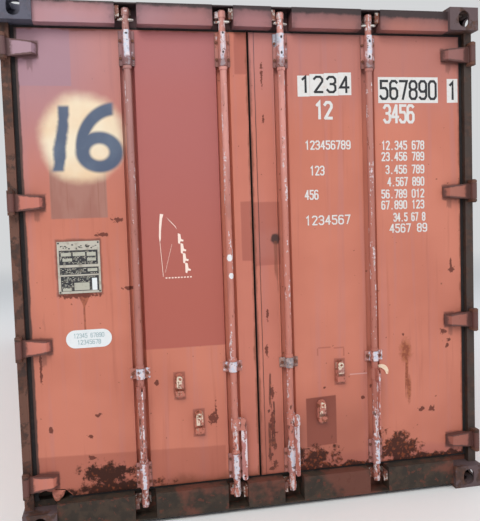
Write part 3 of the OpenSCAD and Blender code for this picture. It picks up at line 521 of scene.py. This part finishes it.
def bracket_paint():
    """Door paint with a pale worn strip over the rod."""
    t = Tree("bracket_paint")
    c = t.mix(t.step(t.noise(6.0), 0.4, 0.65), col(170, 116, 110), col(176, 112, 98))
    high = t.step(t.z, 1.8, 2.2)
    c = t.over(c, t.times(t.step(t.x, -0.35, -0.5), high), 0.75, col(132, 100, 106))
    near = t.rod_gap()
    # chips, more of them over the rod and on the hubs' brackets
    n = t.madd(t.noise(34.0, 4.0, 0.6, (1, 1, 0.25), 2.0), 0.6, t.times(t.noise(60.0, 4.0), 0.4))
    n = t.madd(t.step(near, 0.022, 0.006), 0.14, n)
    mid = t.times(t.step(t.z, 0.62, 0.70), t.step(t.z, 1.0, 0.9))
    n = t.madd(mid, 0.07, n)
    # a bare strip on the upper brackets, narrower on the second rod's
    sway = t.madd(t.sway(18.0, 3.0, 0.6, (1, 1, 0.5)), 0.024, near)
    sway = t.madd(t.times(t.step(t.x, -0.4, -0.3), t.step(t.x, 0.0, -0.05)), 0.007, sway)
    core = t.times(t.step(sway, 0.014, 0.009), t.times(t.step(t.z, 2.318, 2.332), t.step(t.z, 2.462, 2.450)))
    chips = t.any(t.times(t.step(n, 0.590, 0.63), t.madd(high, -0.35, 1.0)), core)
    c = t.mix(chips, c, t.mix(t.step(t.noise(50.0), 0.4, 0.6), CHIP, col(196, 200, 214)))
    c = t.over(c, t.blob(0.121, 2.424, 0.018, 0.034, 0.2, 0.8), 0.75, col(176, 192, 206))
    dull = t.mix(t.step(t.noise(70.0, 3.0), 0.42, 0.58), col(84, 62, 54), col(160, 134, 122))
    c = t.over(c, t.rect(0.09, 0.21, 0.6, 1.0), 0.72, dull)
    # painted shade with dirt at the flanges and the feet, rust, and the bolt holes
    edge = t.step(t.madd(t.noise(40.0), 0.012, near), 0.039, 0.043)
    c = t.mix(t.times(edge, t.madd(mid, -0.6, 0.6)), c, col(104, 68, 66))
    foot = t.times(t.step(t.madd(t.noise(30.0), 0.03, t.z), 2.345, 2.325), high)
    c = t.over(c, foot, 0.6, col(104, 70, 68))
    c = t.over(c, t.step(t.noise(55.0, 4.0, 0.6, None, 9.0), 0.60, 0.64), 0.85, col(104, 60, 48))
    holes = t.any(t.blobs(BRACKET_HOLES, 0.3, 0.2), t.blob(-0.625, 2.432, 0.007, 0.005, 0.3, 0.4))
    c = t.mix(holes, c, col(52, 38, 40))
    return t.done(c, 0.6, 0.0, t.minus(t.noise(80.0, 4.0), chips), 0.3, 0.001)


def hinge_paint():
    """Door paint with a dark rusty outline and a rusted knuckle."""
    t = Tree("hinge_paint")
    c = weathered(t, col(194, 117, 99), col(179, 103, 88))
    c = t.over(c, t.step(t.z, 1.6, 2.4), 0.5, PINK)
    n = t.sway(30.0, 4.0, 0.65)
    ax = t.madd(n, 0.03, t.abs(t.x))
    dirt = [t.step(ax, 1.152, 1.168), t.step(ax, 1.062, 1.050)]     # knuckle and tip
    # half the height of a blade, which grows towards the knuckle
    reach = t.madd(t.minus(t.abs(t.x), 1.045), 0.103, 0.028)
    for z in HINGES:
        d = t.abs(t.minus(t.madd(n, 0.012, t.z), z))
        dirt.append(t.times(t.step(t.minus(d, reach), -0.011, -0.005), t.step(d, 0.06, 0.05)))
    right = t.step(t.x, 0.5, 0.9)
    c = t.over(c, t.times(t.step(t.z, 1.8, 2.2), right), 0.3, col(112, 72, 66))
    c = t.over(c, right, 0.55, col(122, 76, 64))
    c = t.over(c, t.times(t.step(t.z, 1.9, 2.2), t.step(t.x, -0.5, -0.9)), 0.7, col(152, 130, 146))
    c = t.over(c, t.any(*dirt), 0.9, col(79, 48, 44))
    return t.done(c, 0.6, 0.0, t.noise(80.0, 4.0), 0.3, 0.002)


def rusty(name, paint=RED2, amount=0.5, deep=RUST, bump=0.5, light=RUST2, cool=0.0):
    """Old steel where part of the paint is left. cool: bluer at the upper left."""
    t = Tree(name)
    n = t.noise(9.0, 5.0, 0.68)
    c = t.mix(t.step(t.noise(40.0, 3.0), 0.35, 0.7), deep, light)
    c = t.over(c, t.step(t.noise(18.0, 4.0, 0.6, None, 2.0), 0.55, 0.62), 0.6, DARK)
    c = t.mix(t.step(n, amount - 0.03, amount + 0.03), c, paint)
    if cool:
        c = t.over(c, t.times(t.step(t.x, -0.5, -0.9), t.step(t.z, 2.0, 2.3)), cool, col(78, 90, 112))
    return t.done(c, t.madd(n, 0.3, 0.55), 0.0, t.noise(80.0, 5.0, 0.7), bump, 0.003)


def chipped(name, paint, under=CHIP, amount=0.52, rust=0.62, scale=30.0):
    """Paint flaked down to an older pale coat, and rust in the deepest chips."""
    t = Tree(name)
    c = t.mix(t.step(t.noise(3.0), 0.4, 0.65), paint, RED2)
    long = t.noise(40.0, 3.0, 0.6, (1, 1, 0.15), 4.0)
    chips = t.step(t.madd(long, 0.6, t.times(t.noise(scale, 4.0, 0.6), 0.4)), amount, amount + 0.03)
    c = t.mix(chips, c, under)
    c = t.over(c, t.step(t.noise(scale * 1.7, 4.0, 0.6, None, 9.0), rust, rust + 0.03), 0.9, RUST)
    return t.done(c, 0.6, 0.0, t.minus(t.noise(80.0, 4.0), chips), 0.3, 0.001)


def plain(name, colour, rough=0.6, metal=0.0, scale=40.0, other=None, amount=0.4):
    """One colour, with clouds of another where it is told."""
    t = Tree(name)
    c = colour
    if other:
        c = t.over(c, t.step(t.noise(scale, 4.0, 0.65), 0.5, 0.7), amount, other)
    return t.done(c, rough, metal, t.noise(scale * 2, 3.0), 0.1, 0.001)


def plywood():
    """Worn boards with the grain along the box."""
    t = Tree("plywood")
    c = t.mix(t.step(t.noise(8.0, 5.0, 0.6, (0.3, 4.0, 1)), 0.35, 0.7), col(143, 110, 75), col(103, 77, 53))
    c = t.over(c, t.step(t.noise(1.6, 4.0), 0.5, 0.65), 0.5, col(79, 61, 48))
    return t.done(c, 0.75, 0.0, t.noise(90.0, 3.0, 0.5, (0.3, 4.0, 1)), 0.2, 0.001)


M = {
    "left": left_door_paint(),
    "right": right_door_paint(),
    "body": body_paint("body_paint"),
    "header": header_paint(),
    "roof": body_paint("roof_paint", -2.0, 0.0, col(190, 123, 108), col(177, 112, 97)),
    "post": rusty("left_post_rust", col(98, 63, 50), 0.50, col(55, 34, 26), 0.3, col(86, 49, 33)),
    "post2": rusty("right_post_rust", col(57, 44, 38), 0.5, col(49, 33, 27), 0.3, col(72, 47, 35)),
    "casting": rusty("casting_rust", col(88, 70, 72), 0.48, col(62, 41, 35), 0.3, col(88, 54, 40), 0.55),
    "sill": sill_paint(),
    "under": rusty("underside_rust", col(68, 55, 50), 0.55, col(57, 37, 30), 0.3, col(95, 57, 39)),
    "hinge": hinge_paint(),
    "rod": rod_paint(),
    "bracket": bracket_paint(),
    "keep": chipped("retainer_paint", col(174, 103, 88), col(168, 130, 112), 0.55, 0.54, 30.0),
    "catch": chipped("catch_paint", col(168, 119, 110), col(219, 197, 177), 0.49, 0.57, 40.0),
    "keeper": chipped("keeper_paint", col(103, 70, 64), col(188, 177, 170), 0.50, 0.52, 30.0),
    "handle": chipped("handle_paint", col(179, 119, 115), CHIP, 0.50, 0.60, 36.0),
    "seal": plain("seal_rubber", col(30, 26, 28), 0.8, 0.0, 30.0, col(68, 53, 48)),
    "floor": plywood(),
    "bolt": plain("bolt_rust", col(110, 66, 50), 0.7, 0.2, 60.0, col(168, 108, 95)),
    "white": plain("white_paint", WHITE, 0.6, 0.0, 50.0, col(206, 190, 180), 0.5),
    "ink": plain("black_paint", col(28, 28, 33), 0.6),
    "plate": plain("plate_metal", col(188, 182, 170), 0.5, 0.3, 30.0, col(134, 124, 110), 0.6),
    "field": plain("plate_black", col(39, 39, 44), 0.6, 0.0, 60.0, col(135, 126, 112), 0.6),
    "pale": plain("plate_pale", col(176, 174, 160), 0.6, 0.0, 60.0, col(132, 130, 118), 0.6),
    "oval": plain("oval_label", col(222, 226, 228), 0.5, 0.0, 20.0, col(204, 210, 214)),
    "dash": plain("oval_figures", col(135, 163, 168), 0.6),
    "lug": chipped("cam_lug_paint", col(150, 118, 112), col(206, 204, 200), 0.42, 0.60, 60.0),
    "screw": plain("floor_screw_steel", col(120, 112, 104), 0.5, 0.6, 60.0, col(110, 70, 50), 0.6),
    "ring": chipped("ring_paint", col(210, 186, 166), col(226, 212, 190), 0.46, 0.60, 60.0),
    "tab": plain("bent_tab_paint", col(236, 212, 186), 0.5, 0.0, 60.0, col(219, 143, 95), 0.7),
    "scrap": plain("sticker_scrap", col(240, 218, 206), 0.6),
}

PAINT = {
    "castings_door_end": "casting", "castings_blind_end": "casting", "left_door_post": "post",
    "right_door_post": "post2", "blind_end_posts": "body", "door_header": "header", "door_sill": "sill",
    "blind_end_top_rail": "body", "blind_end_bottom_rail": "body", "top_side_rails": "body",
    "bottom_side_rails": "body", "cross_members": "under", "fork_pockets": "under", "floor_boards": "floor",
    "roof_sheet": "roof", "left_wall": "body", "right_wall": "body", "blind_end_wall": "body",
    "hinge_lugs": "post", "cam_keepers": "keeper", "wall_vents": "body"}
for side in ("left", "right"):
    PAINT.update({side + "_door_frame": side, side + "_door_panel": side, side + "_door_gasket": "seal",
                  side + "_door_hinges": "hinge", side + "_rod_brackets": "bracket",
                  side + "_handle_retainers": "keep"})
for i in range(1, 5):
    PAINT.update({"lock_rod_%d" % i: "rod", "handle_%d" % i: "handle", "catch_%d" % i: "catch"})
for name, key in PAINT.items():
    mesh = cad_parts[name].data
    mesh.materials.clear()
    mesh.materials.append(M[key])

# ---------------------------------------------------------------- shapes

class Shape:
    """Gathers simple solids in the row frame and makes one piece of them."""

    def __init__(self):
        self.v, self.f, self.m = [], [], []

    def poly(self, pts, faces, mat=0):
        k = len(self.v)
        self.v += [tuple(p) for p in pts]
        self.f += [[k + i for i in f] for f in faces]
        self.m += [mat] * len(faces)

    def box(self, x0, x1, y0, y1, z0, z1, mat=0):
        p = [(x, y, z) for z in (z0, z1) for y in (y0, y1) for x in (x0, x1)]
        faces = [(0, 2, 3, 1), (4, 5, 7, 6), (0, 1, 5, 4), (2, 6, 7, 3), (0, 4, 6, 2), (1, 3, 7, 5)]
        self.poly(p, faces, mat)

    def prism(self, low, high, mat=0):
        """Joins two outlines with the same number of points and closes both."""
        n = len(low)
        faces = [tuple(range(n - 1, -1, -1)), tuple(range(n, 2 * n))]
        faces += [(i, (i + 1) % n, n + (i + 1) % n, n + i) for i in range(n)]
        self.poly(low + high, faces, mat)

    def cyl(self, c, axis, r, h, n=12, mat=0):
        a = Vector(axis).normalized()
        u = a.orthogonal().normalized()
        w = a.cross(u)
        c = Vector(c)
        turns = [2 * math.pi * i / n for i in range(n)]
        ring = [u * math.cos(k) + w * math.sin(k) for k in turns]
        self.prism([c + r * d for d in ring], [c + a * h + r * d for d in ring], mat)

    def plate(self, pts, y0, y1, mat=0):
        """An outline in x and z, from y0 to y1."""
        n = len(pts)
        p = [(x, y0, z) for x, z in pts] + [(x, y1, z) for x, z in pts]
        faces = [tuple(range(n)), tuple(range(2 * n - 1, n - 1, -1))]
        faces += [(i, n + i, n + (i + 1) % n, (i + 1) % n) for i in range(n)]
        self.poly(p, faces, mat)

    def bar(self, a, b, w, y0, y1, mat=0):
        """A straight stroke from a to b, half its width longer at both ends."""
        h = w / 2
        k = math.hypot(b[0] - a[0], b[1] - a[1])
        dx, dz = (b[0] - a[0]) / k * h, (b[1] - a[1]) / k * h
        ax, az, bx, bz = a[0] - dx, a[1] - dz, b[0] + dx, b[1] + dz
        corners = [(ax + dz, az - dx), (bx + dz, bz - dx), (bx - dz, bz + dx), (ax - dz, az + dx)]
        self.plate(corners, y0, y1, mat)

    def done(self, name, mats, body):
        """Makes the piece, and lets it ride on a body of the frame."""
        me = bpy.data.meshes.new(name)
        me.from_pydata(self.v, [], self.f)
        me.validate()
        for key in (mats if isinstance(mats, (list, tuple)) else [mats]):
            me.materials.append(M[key])
        for p, m in zip(me.polygons, self.m):
            p.material_index = m
        ob = bpy.data.objects.new(name, me)
        bpy.context.scene.collection.objects.link(ob)
        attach(ob, body)


# The strokes of each figure on a field of 4 by 7.
GLYPHS = {
    "0": [[(0, 1), (0, 6), (1, 7), (3, 7), (4, 6), (4, 1), (3, 0), (1, 0), (0, 1)]],
    "1": [[(0.8, 5.8), (2.2, 7), (2.2, 0)]],
    "2": [[(0, 6), (1, 7), (3, 7), (4, 6), (4, 4.8), (0.2, 0)], [(0.4, 0), (4, 0)]],
    "3": [[(0, 6), (1, 7), (3, 7), (4, 6), (4, 4.5), (3, 3.7), (1.6, 3.7)],
          [(3, 3.7), (4, 2.8), (4, 1), (3, 0), (1, 0), (0, 1)]],
    "4": [[(3, 0), (3, 7)], [(2.9, 7), (0, 2.2), (4.2, 2.2)]],
    "5": [[(4, 7), (0.3, 7), (0.3, 4.2), (3, 4.2), (4, 3.2), (4, 1), (3, 0), (1, 0), (0, 1)]],
    "6": [[(3.8, 6.4), (3, 7), (1, 7), (0, 6), (0, 3.4)],
          [(0, 3.2), (1, 4.1), (3, 4.1), (4, 3.2), (4, 1), (3, 0), (1, 0), (0, 1), (0, 3.2)]],
    "7": [[(0, 7), (4, 7), (1.6, 0)]],
    "8": [[(1, 3.7), (0, 4.6), (0, 6), (1, 7), (3, 7), (4, 6), (4, 4.6), (3, 3.7), (1, 3.7)],
          [(1, 3.7), (0, 2.8), (0, 1), (1, 0), (3, 0), (4, 1), (4, 2.8), (3, 3.7), (1, 3.7)]],
    "9": [[(4, 3.8), (3, 2.9), (1, 2.9), (0, 3.8), (0, 6), (1, 7), (3, 7), (4, 6), (4, 3.8)],
          [(4, 3.6), (4, 1), (3, 0), (1, 0), (0.2, 0.6)]],
    ".": [[(1.6, 0), (2.0, 0)]],
}
COAT = 0.0004       # thickness of a painted stroke
LAYER = 0.00008     # each stroke of a figure lies this much higher than the one before


def ribbon(s, pts, w, y, mat):
    """A painted line with mitred corners. The first point may come again at the end."""
    loop = len(pts) > 2 and pts[0] == pts[-1]
    if loop:
        pts = pts[:-1]
    n = len(pts)
    left, right = [], []
    for i, p in enumerate(pts):
        a = pts[i - 1] if i or loop else None
        b = pts[(i + 1) % n] if i < n - 1 or loop else None
        d0 = Vector((p[0] - a[0], p[1] - a[1])).normalized() if a else None
        d1 = Vector((b[0] - p[0], b[1] - p[1])).normalized() if b else None
        d0, d1 = d0 or d1, d1 or d0
        m = (d0 + d1).normalized()
        k = w / 2 / max(0.45, m.dot(d0))
        end = Vector((0, 0))
        if not a:
            end = -d1 * w * 0.4
        if not b:
            end = d0 * w * 0.4
        o = Vector((-m.y, m.x)) * k
        left.append(Vector(p) + o + end)
        right.append(Vector(p) - o + end)
    v = [(q.x, yy, q.y) for yy in (y - COAT, y) for side in (left, right) for q in side]
    f = []
    for i in range(n if loop else n - 1):
        j = (i + 1) % n
        f += [(i, j, n + j, n + i), (i, 2 * n + i, 2 * n + j, j), (n + i, n + j, 3 * n + j, 3 * n + i)]
    if not loop:
        f += [(0, n, 3 * n, 2 * n), (n - 1, 3 * n - 1, 4 * n - 1, 2 * n - 1)]
    s.poly(v, f, mat)


def digits(s, text, x0, x1, z0, z1, w, mat=0, y=FACE - 0.0006, fill=0.6):
    """Plain figures between x0 and x1. fill is how much of its place a figure takes."""
    step = (x1 - x0) / len(text)
    cw = step * fill
    for i, ch in enumerate(text):
        ox = x0 + i * step + (step - cw) / 2
        for k, line in enumerate(GLYPHS.get(ch, [])):
            pts = [(ox + px / 4 * cw, z0 + w / 2 + pz / 7 * (z1 - z0 - w)) for px, pz in line]
            ribbon(s, pts, w, y - LAYER * k, mat)


# ---------------------------------------------------------------- right door figures

s = Shape()
TILES = [(0.240, 0.306, 2.138, 2.246), (0.306, 0.384, 2.141, 2.255), (0.384, 0.462, 2.143, 2.260),
         (0.462, 0.534, 2.146, 2.264), (0.683, 1.027, 2.106, 2.243), (1.079, 1.143, 2.108, 2.236)]
GAP = 0.0008        # between two tiles
SKEW = 0.001        # a tile's lower right and upper left corners are off by this
for x0, x1, z0, z1 in TILES:
    s.plate([(x0, z0), (x1 - GAP, z0 + SKEW), (x1 - GAP, z1), (x0, z1 - SKEW)], FACE - 0.0005, FACE)
digits(s, "1234", 0.246, 0.530, 2.156, 2.246, 0.012, 1, fill=0.62)
digits(s, "567890", 0.688, 1.022, 2.122, 2.228, 0.013, 1, fill=0.70)
digits(s, "1", 1.081, 1.141, 2.122, 2.224, 0.013, 1, fill=0.66)
s.done("right_door_number_panels", ["white", "ink"], "right_door")

s = Shape()
digits(s, "12", 0.329, 0.428, 2.02, 2.116, 0.015, fill=0.72)
digits(s, "3456", 0.709, 0.888, 1.998, 2.10, 0.014, fill=0.72)
ROWS = [("123456789", 0.270, 0.524, 1.864, 1.912), ("123", 0.294, 0.376, 1.730, 1.781),
        ("456", 0.263, 0.340, 1.604, 1.656), ("1234567", 0.260, 0.515, 1.470, 1.521),
        ("12.345 678", 0.695, 0.943, 1.858, 1.907), ("23.456 789", 0.693, 0.942, 1.799, 1.847),
        ("3.456 789", 0.715, 0.941, 1.730, 1.778), ("4.567 890", 0.725, 0.940, 1.664, 1.713),
        ("56.789 012", 0.689, 0.939, 1.600, 1.648), ("67.890 123", 0.688, 0.938, 1.541, 1.589),
        ("34.5 67 8", 0.756, 0.943, 1.474, 1.522), ("4567 89", 0.732, 0.954, 1.414, 1.463)]
for text, x0, x1, z0, z1 in ROWS:
    digits(s, text, x0, x1, z0, z1, 0.0072, fill=0.66)
s.done("right_door_figures", "white", "right_door")

# ---------------------------------------------------------------- left door plate, label and scraps

s = Shape()
SHEET = FACE - 0.003                                # y of the data plate's outer side
FIELD_Y, CELL_Y = SHEET - 0.0002, SHEET - 0.0006
THICK = 0.001                                       # of fields, cells and words
s.box(-1.011, -0.791, SHEET, FACE, 1.170, 1.445)
for x in (-1.003, -0.799):
    for z in (1.178, 1.437):
        s.cyl((x, SHEET, z), (0, -1, 0), 0.005, 0.002, 10, 1)
FIELDS = [(-1.002, -0.803, 1.322, 1.398), (-1.001, -0.801, 1.270, 1.308), (-0.998, -0.802, 1.182, 1.262)]
CELLS = [(-0.992, -0.940, 1.368, 1.386), (-0.931, -0.868, 1.368, 1.388), (-0.859, -0.813, 1.366, 1.386),
         (-0.985, -0.936, 1.340, 1.356), (-0.858, -0.813, 1.340, 1.356), (-0.858, -0.808, 1.284, 1.300),
         (-0.930, -0.852, 1.186, 1.226), (-0.838, -0.812, 1.184, 1.248), (-0.990, -0.945, 1.184, 1.198)]
STAMP = CELLS[7]                                    # the white one
# rows of pale dashes stand for words, with room left for the cells
for x0, x1, z0, z1 in FIELDS:
    s.box(x0, x1, FIELD_Y, FIELD_Y + THICK, z0, z1, 1)
    z = z0 + 0.004
    while z < z1 - 0.006:
        x = x0 + 0.004
        while x < x1 - 0.010:
            w = random.uniform(0.003, 0.012)
            free = all(x + w < c[0] - 0.002 or x > c[1] + 0.002 or z + 0.004 < c[2] or z > c[3]
                       for c in CELLS)
            if free and random.random() < 0.55:
                s.box(x, x + w, CELL_Y, CELL_Y + THICK, z, z + 0.0028, 2 if random.random() < 0.6 else 0)
            x += w + random.uniform(0.002, 0.006)
        z += 0.0062
for cell in CELLS:
    x0, x1, z0, z1 = cell
    s.box(x0, x1, CELL_Y, CELL_Y + THICK, z0, z1, 3 if cell is STAMP else 2)
# dark chips in the plate's upper margin
for k in range(26):
    x = random.uniform(-0.995, -0.815)
    z = random.uniform(1.402, 1.425)
    w, h = random.uniform(0.004, 0.014), random.uniform(0.002, 0.007)
    s.box(x, x + w, FIELD_Y, FIELD_Y + THICK, z, z + h, 1)
# drawn a little too large about its middle, so it is shrunk and set in place
DRAWN, PLACED, SHRINK = (-0.901, 1.3075), (-0.899, 1.3055), 0.93
s.v = [(PLACED[0] + (x - DRAWN[0]) * SHRINK, y, PLACED[1] + (z - DRAWN[1]) * SHRINK) for x, y, z in s.v]
s.done("left_door_data_plate", ["plate", "field", "pale", "oval"], "left_door")

s = Shape()
cx, cz, hx, r = -0.868, 0.949, 0.066, 0.045         # middle, half the straight part, end radius
pts = []
for end in (1, -1):
    for i in range(15):
        a = math.pi * (-0.5 * end + i / 14)
        pts.append((cx + end * hx + r * math.cos(a), cz + r * math.sin(a)))
s.plate(pts, FACE - 0.001, FACE)
for text, half, z in (("12345 67890", 0.075, 0.954), ("12345678", 0.058, 0.921)):
    digits(s, text, cx - half, cx + half, z, z + 0.023, 0.0024, 1, FACE - 0.0011, 0.7)
s.done("left_door_oval_label", ["oval", "dash"], "left_door")

s = Shape()
y0, y1 = FACE - 0.0006, FACE
s.plate([(-0.494, 1.555), (-0.477, 1.552), (-0.484, 1.53), (-0.492, 1.47), (-0.494, 1.43), (-0.500, 1.41),
         (-0.503, 1.44), (-0.500, 1.50)], y0, y1)
s.plate([(-0.464, 1.538), (-0.438, 1.512), (-0.418, 1.49), (-0.412, 1.475), (-0.424, 1.492),
         (-0.445, 1.515)], y0, y1)
HOOK = ((-0.408, 1.455), (-0.395, 1.45), (-0.392, 1.425), (-0.380, 1.42),
        (-0.382, 1.412), (-0.396, 1.414), (-0.400, 1.40), (-0.408, 1.405))
for dx, dz in ((0, 0), (0.012, -0.05), (0.022, -0.10), (0.032, -0.15)):
    s.plate([(x + dx, z + dz) for x, z in HOOK], y0, y1)
for k in range(9):
    s.box(-0.478 + k * 0.0155, -0.469 + k * 0.0155, y0, y1, 1.228, 1.234)
s.bar((-0.499, 1.41), (-0.489, 1.24), 0.0022, y0, y1)
s.bar((-0.478, 1.26), (-0.44, 1.40), 0.0012, y0, y1)
s.done("left_door_sticker_scraps", "scrap", "left_door")

# ---------------------------------------------------------------- bolts

for side, body in ((-1, "left_door"), (1, "right_door")):
    s = Shape()
    for x in (ROD_IN, ROD_OUT):
        for z in (0.197, 0.269, 2.318, 2.402):
            for dx in (-0.0305, 0.0305):
                s.cyl((side * x + dx, FACE - 0.006, z), (0, -1, 0), 0.0075, 0.007, 6)
        for dx in (-0.036, 0.036):
            s.cyl((side * x + dx, FACE - 0.006, 0.757), (0, -1, 0), 0.009, 0.007, 6)
    s.done(body + "_bracket_bolts", "bolt", body)

# ---------------------------------------------------------------- lugs under the upper cams

LUG = ((-38, -7), (-30, -10), (-16, -13), (16, -13), (30, -10), (38, -7),
       (38, 5), (30, 8), (16, 13), (-16, 13), (-30, 8), (-38, 5))      # outline in mm
LEANS = (0.10, -0.25, 0.30, -0.15)                                      # turn about the rod
for i, x in enumerate((-ROD_OUT, -ROD_IN, ROD_IN, ROD_OUT)):
    s = Shape()
    ca, sa = math.cos(LEANS[i]), math.sin(LEANS[i])
    pts = [(x + (px * ca - py * sa) / 1000, ROD_Y + (px * sa + py * ca) / 1000) for px, py in LUG]
    low, high = ([(a, b, z) for a, b in pts] for z in (2.4955, 2.5030))
    s.prism(low, high)
    s.done("lock_rod_%d_cam_lugs" % (i + 1), "lug", "rod_%d" % (i + 1))

# ---------------------------------------------------------------- screws of the floor

s = Shape()
ROWS_Y = [0.314 * i for i in range(-2, 3)]
for k in (-1, 1):
    ROWS_Y += [k * (1.265 + 0.3233 * i) for i in range(5)]
for y in ROWS_Y:
    for x in (-1.04, -0.70, -0.35, 0.0, 0.35, 0.70, 1.04):
        place = (x + random.uniform(-0.006, 0.006), y + random.uniform(-0.006, 0.006), 0.1695)
        s.cyl(place, (0, 0, 1), 0.0065, 0.0011, 8)
s.done("floor_screws", "screw", "frame")

# ---------------------------------------------------------------- rings on the catches, bent tab beside hub 4

N = 20                                              # points round a ring
BACK, FRONT = ROD_Y - 0.0141, ROD_Y - 0.0160
for i, (x, z) in enumerate(RETAINERS):
    s = Shape()
    pts = []
    for r, y in ((0.0130, BACK), (0.0130, FRONT), (0.0075, FRONT), (0.0075, BACK)):
        for k in range(N):
            a = 2 * math.pi * k / N
            pts.append((x + r * math.cos(a), y, z + STUD_UP + r * math.sin(a)))
    s.poly(pts, [(N * j + k, N * j + (k + 1) % N, N * ((j + 1) % 4) + (k + 1) % N, N * ((j + 1) % 4) + k)
                 for j in range(4) for k in range(N)])
    s.done("catch_ring_%d" % (i + 1), "ring", "catch_%d" % (i + 1))

s = Shape()
cx, cz, r = 0.662, 0.656, 0.040                     # the tab bends round here
outer, inner = [], []
for k in range(13):
    a = math.radians(104 - 114 * k / 12)
    w = 0.003 + 0.0085 * math.sin(math.pi * (0.12 + 0.80 * k / 12))
    outer.append((cx + (r + w) * math.cos(a), cz + (r + w) * math.sin(a)))
    inner.append((cx + (r - w) * math.cos(a), cz + (r - w) * math.sin(a)))
n = len(outer)
pts = [(x, y, z) for y in (FACE - 0.006, FACE + 0.0005) for side in (outer, inner) for x, z in side]
f = [(0, n, 3 * n, 2 * n), (n - 1, 3 * n - 1, 4 * n - 1, 2 * n - 1)]
for i in range(n - 1):
    f += [(i, i + 1, n + i + 1, n + i), (i, 2 * n + i, 2 * n + i + 1, i + 1),
          (n + i, n + i + 1, 3 * n + i + 1, 3 * n + i), (2 * n + i, 3 * n + i, 3 * n + i + 1, 2 * n + i + 1)]
s.poly(pts, f)
s.done("right_door_bent_tab", "tab", "right_door")

# ---------------------------------------------------------------- torn flap at the lower left corner

s = Shape()
# x, z and how far it is bent outwards
pts = [(-1.086, 0.205, 0.0), (-1.052, 0.199, 0.0), (-1.017, 0.193, 0.0),
       (-1.078, 0.176, -0.012), (-1.046, 0.172, -0.016), (-1.028, 0.170, -0.012),
       (-1.070, 0.156, -0.020), (-1.050, 0.153, -0.026), (-1.061, 0.1525, -0.028)]
v = [(x, FACE + 0.004 + d, z) for x, z, d in pts] + [(x, FACE + 0.006 + d, z) for x, z, d in pts]
f = [(0, 1, 4, 3), (1, 2, 5, 4), (3, 4, 7, 6), (4, 5, 7), (6, 7, 8)]
s.poly(v, f + [tuple(9 + k for k in reversed(q)) for q in f])
s.done("left_door_torn_flap", "left", "left_door")

# ---------------------------------------------------------------- stage, light and camera

BACKDROP = (0.66, 0.67, 0.68, 1)
SKY = (0.86, 0.92, 1.0, 1)                          # what lights the object


def blend(tree, near, far, far_share=None):
    """Mixes two shaders. Only rays of the camera, reflections and glass see the far one."""
    rays = tree.nodes.new("ShaderNodeLightPath")
    share = rays.outputs["Is Camera Ray"]
    steps = [("MAXIMUM", rays.outputs["Is Glossy Ray"]), ("MAXIMUM", rays.outputs["Is Transmission Ray"])]
    if far_share is not None:
        steps.append(("MULTIPLY", far_share))
    for op, value in steps:
        n = tree.nodes.new("ShaderNodeMath")
        n.operation = op
        tree.links.new(share, n.inputs[0])
        tree.links.new(value, n.inputs[1])
        share = n.outputs[0]
    mix = tree.nodes.new("ShaderNodeMixShader")
    for k, socket in enumerate((share, near, far)):
        tree.links.new(socket, mix.inputs[k])
    return mix.outputs[0]


bpy.ops.mesh.primitive_plane_add(size=600, location=(0, 0, -0.001))
ground = bpy.context.object
ground.name = "studio_floor"
# the floor fades into the backdrop far from the object; close to it, it is lit and shaded
t = Tree("studio_floor_paint")
ground.data.materials.append(t.done(col(240, 240, 239), 0.95))
glow = t.new("ShaderNodeEmission")
glow.inputs[0].default_value = BACKDROP
away = t.step(t.hypot(t.x, t.y), 5.0, 22.0)
t.put(t.out.inputs[0], blend(t.tree, t.bsdf.outputs[0], glow.outputs[0], away))

world = bpy.data.worlds.new("studio")
bpy.context.scene.world = world
world.use_nodes = True
wt = world.node_tree
wt.nodes.clear()
shades = []
for colour, strength in ((SKY, 0.53), (BACKDROP, 1.0)):
    n = wt.nodes.new("ShaderNodeBackground")
    n.inputs[0].default_value = colour
    n.inputs[1].default_value = strength
    shades.append(n.outputs[0])
wt.links.new(blend(wt, *shades), wt.nodes.new("ShaderNodeOutputWorld").inputs[0])


def area(name, place, aim, size, power, colour=(1, 1, 1)):
    """A square soft light that looks from its place towards aim."""
    li = bpy.data.lights.new(name, "AREA")
    li.size = size
    li.energy = power
    li.color = colour
    ob = bpy.data.objects.new(name, li)
    bpy.context.scene.collection.objects.link(ob)
    d = Vector(aim) - Vector(place)
    ob.location = place
    ob.rotation_euler = d.to_track_quat("-Z", "Y").to_euler()


area("key", (-3.0, -9.5, 7.5), (0, -3, 1.2), 5.0, 547, (1.0, 0.97, 0.92))
area("fill", (7.0, -7.0, 4.0), (0, -2, 1.2), 5.0, 156, (0.92, 0.96, 1.0))
area("top", (0, 2, 9.0), (0, 0, 0), 8.0, 312)

cam = bpy.data.cameras.new("camera")
cam.sensor_fit = "HORIZONTAL"
cam.sensor_width = 36
cam.lens = 49.2
cam.shift_y = -0.002
cam.clip_end = 200
co = bpy.data.objects.new("camera", cam)
bpy.context.scene.collection.objects.link(co)
# fitted to the four corners of the door end in the photo
right = Vector((0.98033574, -0.19461261, -0.03267664))
up = Vector((0.04418678, 0.05509841, 0.99750273))
back = -Vector((0.19232618, 0.97933145, -0.06261424))
m = Matrix((right, up, back)).transposed().to_4x4()
m.translation = Vector((-0.74275, -6.2577, 1.51949))
co.matrix_world = m
bpy.context.scene.camera = co
bpy.context.scene.view_settings.view_transform = "Standard"
